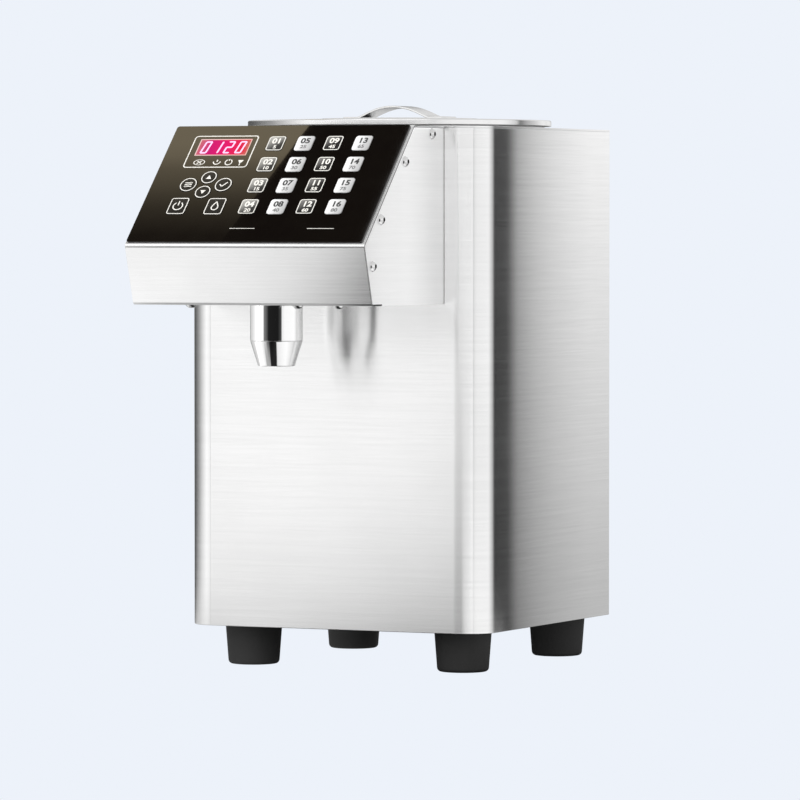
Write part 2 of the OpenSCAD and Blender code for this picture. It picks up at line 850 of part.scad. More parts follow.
// Chromed sleeve with its valve chamber, threaded stub and hose barb
module nozzle_body() {
    color(bright_colour) translate([nozzle_x, nozzle_y, 0]) difference() {
        union() {
            translate([0, 0, seam_z]) cylinder(sleeve_h, d = nozzle_d);
            translate([0, 0, seam_z + sleeve_h / 2]) cylinder(stub_top - seam_z - sleeve_h / 2, d = stub_d);
            translate([0, 0, stub_top - past]) cylinder(barb_len + past, r = barb_r);
        }
        translate([0, 0, seam_z - past]) cylinder(chamber_top - seam_z + past, d = chamber_d);
        translate([0, 0, chamber_top - past]) cylinder(stub_top + barb_len - chamber_top + 2 * past, d = bore_d);
    }
}

// Tapered tip with the valve stem's guide and the outlet
module nozzle_tip() {
    color(bright_colour) translate([nozzle_x, nozzle_y, 0]) difference() {
        translate([0, 0, outlet_z]) cylinder(tip_h, d1 = tip_d, d2 = nozzle_d);
        translate([0, 0, outlet_z - past]) cylinder(guide_bottom - outlet_z + past, d = outlet_d);
        translate([0, 0, guide_top]) cylinder(seam_z - guide_top + past, d = chamber_d);
        translate([0, 0, guide_bottom - past]) cylinder(guide_t + 2 * past, r = stem_d / 2 + shaft_fit);
        for (a = [0:60:300]) rotate(a)
            translate([flow_circle, 0, guide_bottom - past]) cylinder(guide_t + 2 * past, d = flow_hole_d, $fn = 24);
    }
}

// Hexagon nut that clamps the nozzle to the head's floor
module nozzle_nut() {
    color(bright_colour) translate([nozzle_x, nozzle_y, floor_top]) difference() {
        cylinder(nut_h, d = nut_af / cos(30), $fn = 6);
        translate([0, 0, -past]) cylinder(nut_h + 2 * past, d = stub_d);
    }
}

// Anti-drip valve: a disc on a guided stem
module valve_poppet() {
    color(grey_colour) translate([nozzle_x, nozzle_y, 0]) {
        translate([0, 0, valve_under]) cylinder(valve_t, d = valve_d);
        translate([0, 0, stem_bottom]) cylinder(valve_under - stem_bottom + valve_t / 2, d = stem_d);
    }
}

// Envelope of the valve's coil spring
module valve_spring() {
    len = valve_under - run_gap - guide_top;
    color(bright_colour) translate([nozzle_x, nozzle_y, guide_top]) difference() {
        cylinder(len, d = spring_bore + 2 * spring_wall);
        translate([0, 0, -past]) cylinder(len + 2 * past, d = spring_bore);
    }
}

// Round syrup tank hung by its flange on the deck
module tank() {
    color(steel_colour) translate([0, tank_y, 0]) rotate_extrude($fn = 96) polygon([
        [tank_hole_r, tank_bottom], [tank_r, tank_bottom], [tank_r, top_z],
        [tank_r + tank_flange, top_z], [tank_r + tank_flange, flange_top],
        [tank_r - tank_wall, flange_top], [tank_r - tank_wall, tank_bottom + tank_wall],
        [tank_hole_r, tank_bottom + tank_wall]
    ]);
}

// Outlet fitting through the tank's bottom, with a hose barb
module tank_outlet() {
    lip_top = tank_bottom + tank_wall + outlet_lip_t;
    color(bright_colour) translate([0, tank_y, 0]) rotate_extrude() polygon([
        [bore_d / 2, outlet_barb_top - barb_len], [barb_r, outlet_barb_top - barb_len],
        [barb_r, outlet_barb_top], [outlet_flange_r, outlet_barb_top],
        [outlet_flange_r, tank_bottom], [tank_hole_r, tank_bottom],
        [tank_hole_r, tank_bottom + tank_wall], [outlet_lip_r, tank_bottom + tank_wall],
        [outlet_lip_r, lip_top], [bore_d / 2, lip_top]
    ]);
}

// Heating band round the lower part of the tank
module heater_band() {
    color(orange_colour) translate([0, tank_y, tank_bottom + heater_rise]) difference() {
        cylinder(heater_h, r = tank_r + heater_t, $fn = 96);
        translate([0, 0, -past]) cylinder(heater_h + 2 * past, r = tank_r, $fn = 96);
    }
}

// Lid with a rolled rim, a raised middle and a locating ring
module lid() {
    crown_r = crown_d / 2;
    under = lid_top - lid_sheet;
    plug_low = top_z - plug_h;
    color(steel_colour) translate([0, tank_y, 0]) rotate_extrude($fn = 128) polygon(concat(
        [[0, crown_top], [crown_r, crown_top], [crown_r + crown_h, lid_top]],
        [for (a = [90:-22.5:0]) [lid_r - rim_round + rim_round * cos(a), lid_top - rim_round + rim_round * sin(a)]],
        [[lid_r, lid_bottom], [lid_r - lid_sheet, lid_bottom], [lid_r - lid_sheet, under],
         [plug_r, under], [plug_r, plug_low], [plug_r - lid_sheet, plug_low], [plug_r - lid_sheet, under],
         [crown_r + crown_h - lid_sheet / 2, under], [crown_r - lid_sheet / 2, crown_top - lid_sheet],
         [0, crown_top - lid_sheet]]
    ));
}

// Bent strap handle welded to the lid's middle
module lid_handle() {
    half = handle_span / 2;
    arch_r = (half * half + handle_h * handle_h) / (2 * handle_h);
    color(bright_colour) translate([0, tank_y + handle_w / 2, crown_top]) rotate([90, 0, 0]) linear_extrude(handle_w) {
        intersection() {
            translate([0, handle_h - arch_r]) difference() {
                circle(arch_r, $fn = 128);
                circle(arch_r - handle_t, $fn = 128);
            }
            translate([-half, 0]) square([handle_span, handle_h + past]);
        }
        for (side = [-1, 1])
            translate([side * (half + handle_end / 2 - handle_t), handle_t / 2])
                square([handle_end, handle_t], center = true);
    }
}

// Sealing ring under the lid
module lid_gasket() {
    ring_r = tank_r + tank_flange - gasket_edge;
    low = flange_top + run_gap;
    under = lid_top - lid_sheet;
    color(rubber_colour) translate([0, tank_y, 0]) rotate_extrude($fn = 96)
        polygon([[plug_r, low], [ring_r, low], [ring_r, under], [plug_r, under]]);
}

// Ring-shaped section of the hose
module hose_section() {
    difference() {
        circle(d = hose_d, $fn = 32);
        circle(d = hose_bore, $fn = 32);
    }
}

// Straight stretch of hose from a to b
module hose_run(a, b) {
    d = unit(b - a);
    e = abs(d[2]) < 0.5 ? [0, 0, 1] : [1, 0, 0];
    f = cross(d, e);
    multmatrix([
        [e[0], f[0], d[0], a[0]], [e[1], f[1], d[1], a[1]], [e[2], f[2], d[2], a[2]], [0, 0, 0, 1]
    ]) linear_extrude(norm(b - a)) hose_section();
}

// Quarter bend of hose round the corner b of the path a-b-c
module hose_bend(a, b, c) {
    d = unit(b - a);
    e = unit(c - b);
    f = cross(d, e);
    m = b - bend_r * d + bend_r * e;
    multmatrix([
        [-e[0], d[0], f[0], m[0]], [-e[1], d[1], f[1], m[1]], [-e[2], d[2], f[2], m[2]], [0, 0, 0, 1]
    ]) rotate_extrude(angle = 90, $fn = 64) translate([bend_r, 0]) hose_section();
}

// Hose along a square-cornered path
module hose(path) {
    last = len(path) - 1;
    color(hose_colour) for (i = [0:last - 1]) {
        d = unit(path[i + 1] - path[i]);
        from = i == 0 ? path[i] : path[i] + bend_r * d;
        to = i == last - 1 ? path[i + 1] : path[i + 1] - bend_r * d;
        hose_run(from, to);
        if (i > 0) hose_bend(path[i - 1], path[i], path[i + 1]);
    }
}

// Hose from the tank's outlet to the pump
module suction_hose() {
    hose([
        [0, tank_y, outlet_barb_top],
        [0, tank_y, port_z],
        [pump_x, tank_y, port_z],
        [pump_x, pump_y + pump_half, port_z]
    ]);
}

// Hose from the pump, up behind the front wall and over to the nozzle
module delivery_hose() {
    hose([
        [pump_x, pump_y - pump_half, port_z],
        [pump_x, riser_y, port_z],
        [pump_x, riser_y, crossing_z],
        [pump_x, nozzle_y, crossing_z],
        [nozzle_x, nozzle_y, crossing_z],
        [nozzle_x, nozzle_y, stub_top]
    ]);
}

// Pump housing with the gears' cavity, the driven gear's pin, two ports and their barbs
module pump_body() {
    color(grey_colour) difference() {
        union() {
            difference() {
                translate([pump_left, pump_y - pump_half, shaft_z - pump_half])
                    cube([pump_right - pump_left, 2 * pump_half, 2 * pump_half + gear_distance]);
                for (z = [shaft_z, shaft_z + gear_distance])
                    translate([pump_left - past, pump_y, z]) rotate([0, 90, 0]) cylinder(cavity_len + past, r = cavity_r);
            }
            translate([pump_left, pump_y, shaft_z + gear_distance]) rotate([0, 90, 0])
                cylinder(cavity_len + back_wall / 2, d = pin_d);
            for (side = [-1, 1]) translate([pump_x, pump_y + side * (pump_half - past), port_z])
                rotate([-90 * side, 0, 0]) cylinder(barb_len + past, r = barb_r);
        }
        translate([cavity_right - past, pump_y, shaft_z]) rotate([0, 90, 0])
            cylinder(back_wall + 2 * past, r = shaft_d / 2 + shaft_fit);
        for (side = [-1, 1]) translate([pump_x, pump_y + side * gear_root_r / 2, port_z])
            rotate([-90 * side, 0, 0]) cylinder(pump_half + barb_len, d = port_d);
    }
}

// Plate that closes the pump's cavity
module pump_cover() {
    color(steel_colour) translate([pump_left - cover_t, pump_y - pump_half, shaft_z - pump_half])
        cube([cover_t, 2 * pump_half, 2 * pump_half + gear_distance]);
}

// Angle bracket that stands the pump and motor on the base plate
module pump_bracket() {
    color(steel_colour) difference() {
        union() {
            translate([pump_right, pump_y - pump_half, base_top])
                cube([bracket_t, 2 * pump_half, shaft_z + gear_distance + pump_half - base_top]);
            translate([pump_right, pump_y - pump_half, base_top]) cube([bracket_foot, 2 * pump_half, bracket_t]);
        }
        translate([pump_right - past, pump_y, shaft_z]) rotate([0, 90, 0])
            cylinder(bracket_t + 2 * past, r = shaft_d / 2 + bracket_gap);
    }
}

// Pump motor with its shaft bearing and rear cap
module pump_motor() {
    cap_len = 8;
    cap_step = 4;
    color(black_colour) difference() {
        union() {
            translate([bracket_right, pump_y, shaft_z]) rotate([0, 90, 0]) cylinder(motor_len - cap_len, d = motor_d);
            translate([bracket_right + motor_len - cap_len - past, pump_y, shaft_z]) rotate([0, 90, 0])
                cylinder(cap_len + past, d = motor_d - 2 * cap_step);
        }
        translate([bracket_right - past, pump_y, shaft_z]) rotate([0, 90, 0])
            cylinder(motor_bearing + 2 * past, r = shaft_d / 2 + shaft_fit);
    }
}

// Involute curve point on base radius b, at roll angle t in degrees
function involute(b, t) = [
    b * (cos(t) + t * PI / 180 * sin(t)),
    b * (sin(t) - t * PI / 180 * cos(t))
];
// Roll angle at which the involute on base radius b reaches radius r
function roll_at(b, r) = r > b ? sqrt(r * r / (b * b) - 1) * 180 / PI : 0;
// Turning of point p by angle a
function turned(p, a) = [p[0] * cos(a) - p[1] * sin(a), p[0] * sin(a) + p[1] * cos(a)];

// Outline of a pump gear with a tooth on the first axis
module gear_outline() {
    base_r = pitch_r * cos(pressure_angle);
    steps = 5;
    start = roll_at(base_r, gear_root_r);
    end = roll_at(base_r, gear_tip_r);
    at_pitch = involute(base_r, roll_at(base_r, pitch_r));
    half_tooth = 90 / gear_teeth - backlash / 2 / pitch_r * 180 / PI;
    shift = half_tooth + atan2(at_pitch[1], at_pitch[0]);
    flank = [for (i = [0:steps]) turned(involute(base_r, start + (end - start) * i / steps), -shift)];
    root = turned([gear_root_r, 0], -shift);
    tooth = concat([root], flank, reversed([for (p = flank) [p[0], -p[1]]]), [[root[0], -root[1]]]);
    polygon([for (k = [0:gear_teeth - 1], p = tooth) turned(p, 360 * k / gear_teeth)]);
}

// Gear laid along the pump's axis, turned by a
module pump_gear(z, a) {
    translate([pump_left + gear_gap, pump_y, z]) rotate([90, 0, 90]) linear_extrude(gear_w) rotate(a) gear_outline();
}

// Drive gear in one piece with its shaft
module drive_gear() {
    color(bright_colour) {
        pump_gear(shaft_z, 90);
        translate([pump_left + gear_gap, pump_y, shaft_z]) rotate([0, 90, 0])
            cylinder(bracket_right + motor_bearing - pump_left - gear_gap, d = shaft_d);
    }
}

// Driven gear on its fixed pin
module driven_gear() {
    color(bright_colour) difference() {
        pump_gear(shaft_z + gear_distance, -90 + 180 / gear_teeth);
        translate([pump_left - past, pump_y, shaft_z + gear_distance]) rotate([0, 90, 0])
            cylinder(cavity_len + 2 * past, r = pin_d / 2 + shaft_fit);
    }
}

// Power supply case on four feet
module power_supply() {
    foot_d = 8;
    inset = 8;
    color(grey_colour) translate([supply_x, supply_y, base_top]) {
        translate([-supply_w / 2, -supply_d / 2, supply_foot]) cube([supply_w, supply_d, supply_h]);
        for (x = [-1, 1], y = [-1, 1])
            translate([x * (supply_w / 2 - inset), y * (supply_d / 2 - inset), 0])
                cylinder(supply_foot + past, d = foot_d);
    }
}

// Size of the switch housing behind its flange, twice its depth
function switch_body() = [
    rocker_w + 2 * run_gap + 2 * switch_rim, 2 * switch_depth, 2 * (rocker_r + run_gap + switch_rim)
];

// Switch housing with a round-backed well for the rocker
module switch_housing() {
    size = switch_body();
    well_w = rocker_w + 2 * run_gap;
    flange_edge = 2;
    color(black_colour) translate([switch_x, back_y, inlet_z]) difference() {
        union() {
            translate([-size[0] / 2, -switch_depth, -size[2] / 2])
                cube([size[0], switch_depth + switch_flange_t / 2, size[2]]);
            translate([-size[0] / 2 - flange_edge, 0, -size[2] / 2 - flange_edge])
                cube([size[0] + 2 * flange_edge, switch_flange_t, size[2] + 2 * flange_edge]);
        }
        translate([-well_w / 2, -rocker_sink, 0]) rotate([0, 90, 0]) cylinder(well_w, r = rocker_r + run_gap);
        translate([-well_w / 2, -rocker_sink, -rocker_r - run_gap])
            cube([well_w, switch_depth, 2 * (rocker_r + run_gap)]);
        translate([-size[0] / 2 + pin_skin, -rocker_sink, 0]) rotate([0, 90, 0])
            cylinder(size[0] - 2 * pin_skin, r = rocker_pin_r + shaft_fit, $fn = 32);
    }
}

// Rocker with a shallow hollow face, drawn pressed at its lower end
module switch_rocker() {
    size = switch_body();
    color(black_colour) translate([switch_x, back_y - rocker_sink, inlet_z]) rotate([-rocker_swing / 2, 0, 0]) {
        translate([-rocker_w / 2, 0, 0]) rotate([90, 0, 90]) linear_extrude(rocker_w) difference() {
            circle(rocker_r);
            polygon([[rocker_face, -rocker_half - past], [rocker_face - rocker_hollow, 0], [rocker_face, rocker_half + past],
                [rocker_r + past, rocker_half + past], [rocker_r + past, -rocker_half - past]]);
        }
        rotate([0, 90, 0]) cylinder(size[0] - 2 * pin_skin - pin_play, r = rocker_pin_r, center = true, $fn = 32);
    }
}

// Three-blade power inlet set in the rear panel
module power_inlet() {
    color(black_colour) translate([inlet_x, back_y, inlet_z]) {
        difference() {
            union() {
                translate([-inlet_w / 2, -inlet_depth, -inlet_h / 2])
                    cube([inlet_w, inlet_depth + inlet_flange_t / 2, inlet_h]);
                translate([-inlet_flange_w / 2, 0, -inlet_flange_h / 2])
                    cube([inlet_flange_w, inlet_flange_t, inlet_flange_h]);
            }
            translate([-socket_w / 2, inlet_flange_t - socket_depth, -socket_h / 2])
                cube([socket_w, socket_depth + past, socket_h]);
        }
        for (p = [[-blade_step, -blade_drop], [0, blade_drop], [blade_step, -blade_drop]])
            translate([p[0] - blade_t / 2, inlet_flange_t - socket_depth - past, p[1] - blade_h / 2])
                cube([blade_t, blade_len + past, blade_h]);
    }
}

// All dome-headed casing screws
module casing_screws() {
    color(bright_colour) {
        at_cheek_screws(-1) dome_screw();
        at_cheek_screws(1) dome_screw();
        at_floor_screws() dome_screw();
        at_fixing_screws() dome_screw();
        at_rear_screws() dome_screw();
    }
}

body_shell();
top_deck();
rear_panel();
base_plate();
rubber_feet();
head_cover();
head_cheek(-1);  // head_cheek_left
head_cheek(1);  // head_cheek_right
head_floor();
keypad_overlay();
display_window();
display_module();
control_board();
key_switches();
dose_key(1);  // dose_key_1
dose_key(2);  // dose_key_2
dose_key(3);  // dose_key_3
dose_key(4);  // dose_key_4
dose_key(5);  // dose_key_5
dose_key(6);  // dose_key_6
dose_key(7);  // dose_key_7
dose_key(8);  // dose_key_8
dose_key(9);  // dose_key_9
dose_key(10);  // dose_key_10
dose_key(11);  // dose_key_11
dose_key(12);  // dose_key_12
dose_key(13);  // dose_key_13
dose_key(14);  // dose_key_14
dose_key(15);  // dose_key_15
dose_key(16);  // dose_key_16
round_key(set_at, round_d);  // set_key
round_key(save_at, round_d);  // save_key
round_key(up_at, arrow_d);  // up_key
round_key(down_at, arrow_d);  // down_key
mode_key(power_at);  // power_key
mode_key(rinse_at);  // rinse_key
nozzle_body();
nozzle_tip();
nozzle_nut();
valve_poppet();
valve_spring();
tank();
tank_outlet();
heater_band();
lid();
lid_handle();
lid_gasket();
suction_hose();
delivery_hose();
pump_body();
pump_cover();
pump_bracket();
pump_motor();
drive_gear();
driven_gear();
power_supply();
switch_housing();
switch_rocker();
power_inlet();
casing_screws();
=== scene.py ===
"""Looks of the counter-top fructose dispenser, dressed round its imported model.

Each sub-assembly is a class that holds its sizes and builds its pieces. Lengths are in millimetres
while a form is modelled, and become metres when it is finished. +X is to the operator's right,
-Y towards the operator and +Z up.
"""

import json
import logging
import math
from collections.abc import Callable, Iterable, Sequence
from dataclasses import dataclass, field
from enum import Enum

import bmesh
import bpy
from bmesh.types import BMEdge, BMFace, BMVert
from mathutils import Matrix, Vector

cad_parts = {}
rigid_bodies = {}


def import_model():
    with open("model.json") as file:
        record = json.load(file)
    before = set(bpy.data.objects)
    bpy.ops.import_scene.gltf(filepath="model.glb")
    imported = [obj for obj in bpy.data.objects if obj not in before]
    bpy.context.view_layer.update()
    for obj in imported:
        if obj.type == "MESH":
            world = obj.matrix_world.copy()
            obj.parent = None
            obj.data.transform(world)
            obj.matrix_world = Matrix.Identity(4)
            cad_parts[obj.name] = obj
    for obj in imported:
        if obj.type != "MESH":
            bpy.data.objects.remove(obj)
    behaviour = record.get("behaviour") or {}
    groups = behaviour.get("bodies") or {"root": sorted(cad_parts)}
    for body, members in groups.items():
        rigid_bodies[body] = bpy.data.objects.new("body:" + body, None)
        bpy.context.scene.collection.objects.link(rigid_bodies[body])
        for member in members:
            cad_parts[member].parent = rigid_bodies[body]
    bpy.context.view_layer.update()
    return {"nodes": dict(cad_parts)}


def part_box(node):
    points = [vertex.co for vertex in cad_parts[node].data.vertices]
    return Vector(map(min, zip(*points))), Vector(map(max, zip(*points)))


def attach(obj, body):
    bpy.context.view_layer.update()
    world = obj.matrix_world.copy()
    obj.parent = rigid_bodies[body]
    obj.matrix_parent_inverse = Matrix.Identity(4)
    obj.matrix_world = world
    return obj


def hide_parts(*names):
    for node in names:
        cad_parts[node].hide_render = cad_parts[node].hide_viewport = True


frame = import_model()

MM = 0.001
MERGE = 0.0005
SHARP_ANGLE = math.radians(32)
BODY = "dispenser"
COAT_ROUGHNESS = 0.012
RAMP_TOP = 2.0  # brightness that a grey of 1 stands for in the studio's ramps
NOZZLE_PIECES = ("nozzle_sleeve", "nozzle_taper")
NEAR = 0.01  # how close, in millimetres, a corner has to be to count as on a plane

Pair = tuple[float, float]
Triple = tuple[float, float, float]
Colour = tuple[float, float, float]
Stops = Sequence[tuple[float, Colour]]
Socket = bpy.types.NodeSocket

log = logging.getLogger("dispenser")


class Grain(Enum):
    """Pattern that a finish shows."""

    LINES = "brushed lines"
    RINGS = "spun rings"
    PEBBLE = "moulded pebble"


# ---------------------------------------------------------------- shader wiring


class Wiring:
    """Adds the nodes of one shader tree and joins them."""

    def __init__(self, tree: bpy.types.NodeTree) -> None:
        """Keeps the tree that the nodes go into."""
        self.tree = tree

    def node(self, kind: str, **settings: object) -> bpy.types.Node:
        """Adds a node.

        Args:
            kind: Type name of the node.
            settings: Attributes to set on it.

        Returns:
            The new node.
        """
        made = self.tree.nodes.new(kind)
        for name, value in settings.items():
            setattr(made, name, value)
        return made

    def feed(self, socket: Socket, value: object) -> None:
        """Joins an output to a socket, or sets the socket's own value.

        Args:
            socket: The socket to feed.
            value: An output socket, a number or a sequence of numbers.
        """
        if isinstance(value, Socket):
            self.tree.links.new(value, socket)
        else:
            socket.default_value = value

    def feed_colour(self, socket: Socket, value: object) -> None:
        """Joins an output to a colour socket, or sets the socket's own opaque colour."""
        self.feed(socket, value if isinstance(value, Socket) else (*value, 1.0))

    def _combine(self, kind: str, operation: str, first: object, second: object) -> bpy.types.Node:
        """Adds a node that works on two values.

        Args:
            kind: Type name of the node.
            operation: Blender's name of the operation.
            first: First operand.
            second: Second operand.

        Returns:
            The node.
        """
        made = self.node(kind, operation=operation)
        self.feed(made.inputs[0], first)
        self.feed(made.inputs[1], second)
        return made

    def math(self, operation: str, first: object, second: object = 0.0) -> Socket:
        """Returns what an operation makes of two numbers."""
        return self._combine("ShaderNodeMath", operation, first, second).outputs[0]

    def vector(self, operation: str, first: object, second: object = (0.0, 0.0, 0.0)) -> Socket:
        """Returns what an operation makes of two vectors, a number for a length."""
        made = self._combine("ShaderNodeVectorMath", operation, first, second)
        return made.outputs["Value" if operation == "LENGTH" else "Vector"]

    def noise(self, place: object, scale: object, detail: float, roughness: float = 0.6) -> Socket:
        """Adds a noise pattern.

        Args:
            place: Where the pattern is read.
            scale: Its scale, a number or an output.
            detail: Octaves of finer detail.
            roughness: Strength of the finer octaves.

        Returns:
            The pattern's value.
        """
        made = self.node("ShaderNodeTexNoise")
        self.feed(made.inputs["Vector"], place)
        for label, value in (("Scale", scale), ("Detail", detail), ("Roughness", roughness)):
            self.feed(made.inputs[label], value)
        return made.outputs["Fac"]

    def span(self, value: object, low: float, high: float, to_low: float = 0.0,
             to_high: float = 1.0) -> Socket:
        """Maps the range low to high onto another one, and clamps it there.

        Args:
            value: The number to map.
            low: Start of the range it comes from.
            high: End of the range it comes from.
            to_low: Start of the range it goes to.
            to_high: End of the range it goes to.

        Returns:
            The mapped number.
        """
        made = self.node("ShaderNodeMapRange", clamp=True)
        for socket, given in zip(made.inputs, (value, low, high, to_low, to_high)):
            self.feed(socket, given)
        return made.outputs[0]

    def mix(self, share: object, first: object, second: object) -> Socket:
        """Mixes two colours.

        Args:
            share: Share of the second colour.
            first: Colour at a share of 0.
            second: Colour at a share of 1.

        Returns:
            The mixed colour.
        """
        made = self.node("ShaderNodeMix", data_type="RGBA")
        self.feed(made.inputs[0], share)
        self.feed_colour(made.inputs[6], first)
        self.feed_colour(made.inputs[7], second)
        return made.outputs[2]

    def ramp(self, share: object, stops: Stops) -> Socket:
        """Adds a colour ramp.

        Args:
            share: Where the ramp is read, from 0 to 1.
            stops: Place and colour of each stop, in order.

        Returns:
            The ramp's colour.
        """
        made = self.node("ShaderNodeValToRGB")
        self.feed(made.inputs[0], share)
        elements = made.color_ramp.elements
        while len(elements) < len(stops):
            elements.new(1.0)
        for element, (place, colour) in zip(elements, stops):
            element.position = place
            element.color = (*colour, 1.0)
        return made.outputs[0]

    def levels(self, value: object, stops: Sequence[Pair]) -> Socket:
        """Adds a grey ramp over a number.

        Args:
            value: The number that it is read at.
            stops: Number and grey of each stop, in order, with greys from 0 to 1.

        Returns:
            The ramp's grey.
        """
        low, high = stops[0][0], stops[-1][0]
        greys = [((at - low) / (high - low), (v, v, v)) for at, v in stops]
        return self.ramp(self.span(value, low, high), greys)

    def coordinates(self, kind: str) -> Socket:
        """Returns the coordinates of a point, of a kind such as Object or UV."""
        return self.node("ShaderNodeTexCoord").outputs[kind]

    def split(self, vector: object) -> bpy.types.bpy_prop_collection:
        """Splits a vector.

        Args:
            vector: An output, or the numbers of a vector.

        Returns:
            The outputs X, Y and Z.
        """
        made = self.node("ShaderNodeSeparateXYZ")
        self.feed(made.inputs[0], vector)
        return made.outputs

    def light(self, kind: str, colour: object, strength: object = 1.0) -> Socket:
        """Adds a shader that shines.

        Args:
            kind: Type name of its node.
            colour: Its colour.
            strength: Its strength.

        Returns:
            The shader.
        """
        made = self.node(kind)
        self.feed_colour(made.inputs["Color"], colour)
        self.feed(made.inputs["Strength"], strength)
        return made.outputs[0]

    def blend(self, share: object, first: Socket, second: Socket) -> Socket:
        """Mixes two shaders.

        Args:
            share: Share of the second one.
            first: Shader at a share of 0.
            second: Shader at a share of 1.

        Returns:
            The mixed shader.
        """
        made = self.node("ShaderNodeMixShader")
        for socket, given in zip(made.inputs, (share, first, second)):
            self.feed(socket, given)
        return made.outputs[0]

    def show(self, shader: Socket, output: str = "ShaderNodeOutputMaterial") -> None:
        """Joins a shader to the tree's output."""
        self.feed(self.node(output).inputs["Surface"], shader)

    def use(self, group: bpy.types.NodeTree, **values: object) -> bpy.types.Node:
        """Places a node group.

        Args:
            group: The group's tree.
            values: What each named input gets.

        Returns:
            The group's node.
        """
        made = self.node("ShaderNodeGroup", node_tree=group)
        for name, value in values.items():
            self.feed(made.inputs[name], value)
        return made


class Effects:
    """Shader node groups that several finishes share."""

    def __init__(self) -> None:
        """Builds every group once."""
        self.lines = self._lines()
        self.rings = self._rings()
        self.pebble = self._pebble()
        self.handling = self._handling()

    @staticmethod
    def _start(name: str, inputs: dict[str, str],
               outputs: Iterable[str]) -> tuple[Wiring, bpy.types.Node, bpy.types.Node]:
        """Starts a group.

        Args:
            name: Name of the group.
            inputs: Name and socket type of each input.
            outputs: Names of the outputs, all plain numbers.

        Returns:
            The group's wiring, its input node and its output node.
        """
        tree = bpy.data.node_groups.new(name, "ShaderNodeTree")
        for label, kind in inputs.items():
            tree.interface.new_socket(name=label, in_out="INPUT", socket_type=kind)
        for label in outputs:
            tree.interface.new_socket(name=label, in_out="OUTPUT", socket_type="NodeSocketFloat")
        wiring = Wiring(tree)
        return wiring, wiring.node("NodeGroupInput"), wiring.node("NodeGroupOutput")

    def _lines(self) -> bpy.types.NodeTree:
        """Wires the long fine lines that a brushing belt leaves.

        Returns:
            The node group, which gives a tone and a height.
        """
        w, start, end = self._start(
            "brushed_lines", {"Place": "NodeSocketVector", "Stretch": "NodeSocketVector"}, ("Tone", "Height"))
        place = w.vector("MULTIPLY", start.outputs["Place"], start.outputs["Stretch"])
        fine = w.noise(place, 1.0, 4.0, 0.7)
        broad = w.noise(w.vector("MULTIPLY", place, (0.3, 0.3, 0.22)), 1.0, 2.0)
        both = w.math("ADD", w.math("MULTIPLY", fine, 0.65), w.math("MULTIPLY", broad, 0.35))
        w.feed(end.inputs["Tone"], w.span(both, 0.34, 0.66))
        w.feed(end.inputs["Height"], fine)
        return w.tree

    def _rings(self) -> bpy.types.NodeTree:
        """Wires fine rings round the pattern's origin, as a spun sheet shows them.

        Returns:
            The node group, which gives a tone and a height.
        """
        w, start, end = self._start(
            "spun_rings", {"Place": "NodeSocketVector", "Rings": "NodeSocketFloat"}, ("Tone", "Height"))
        flat = w.vector("MULTIPLY", start.outputs["Place"], (1.0, 1.0, 0.0))
        joined = w.node("ShaderNodeCombineXYZ")
        w.feed(joined.inputs["X"], w.math("MULTIPLY", w.vector("LENGTH", flat), start.outputs["Rings"]))
        place = w.vector("ADD", joined.outputs[0], w.vector("MULTIPLY", flat, (14.0, 14.0, 0.0)))
        fine = w.noise(place, 1.0, 4.0, 0.7)
        w.feed(end.inputs["Tone"], w.span(fine, 0.34, 0.66))
        w.feed(end.inputs["Height"], fine)
        return w.tree

    def _pebble(self) -> bpy.types.NodeTree:
        """Wires the fine pebble of a moulded surface.

        Returns:
            The node group, which gives a tone and a height.
        """
        w, start, end = self._start(
            "moulded_pebble", {"Place": "NodeSocketVector", "Scale": "NodeSocketFloat"}, ("Tone", "Height"))
        cells = w.node("ShaderNodeTexVoronoi", feature="SMOOTH_F1")
        w.feed(cells.inputs["Vector"], start.outputs["Place"])
        w.feed(cells.inputs["Scale"], start.outputs["Scale"])
        clouds = w.noise(start.outputs["Place"], 60.0, 3.0)
        w.feed(end.inputs["Tone"], w.span(clouds, 0.35, 0.65))
        w.feed(end.inputs["Height"], cells.outputs["Distance"])
        return w.tree

    def _handling(self) -> bpy.types.NodeTree:
        """Wires soft patches where a surface was wiped and touched.

        Returns:
            The node group, which gives a mask.
        """
        w, start, end = self._start(
            "handling", {"Place": "NodeSocketVector", "Scale": "NodeSocketFloat"}, ("Mask",))
        turned = w.node("ShaderNodeMapping")
        turned.inputs["Rotation"].default_value = (0.4, 0.7, 0.3)
        w.feed(turned.inputs["Vector"], start.outputs["Place"])
        patches = w.noise(turned.outputs[0], start.outputs["Scale"], 3.0, 0.5)
        w.feed(end.inputs["Mask"], w.span(patches, 0.42, 0.7))
        return w.tree


EFFECTS = Effects()


# ---------------------------------------------------------------- finishes


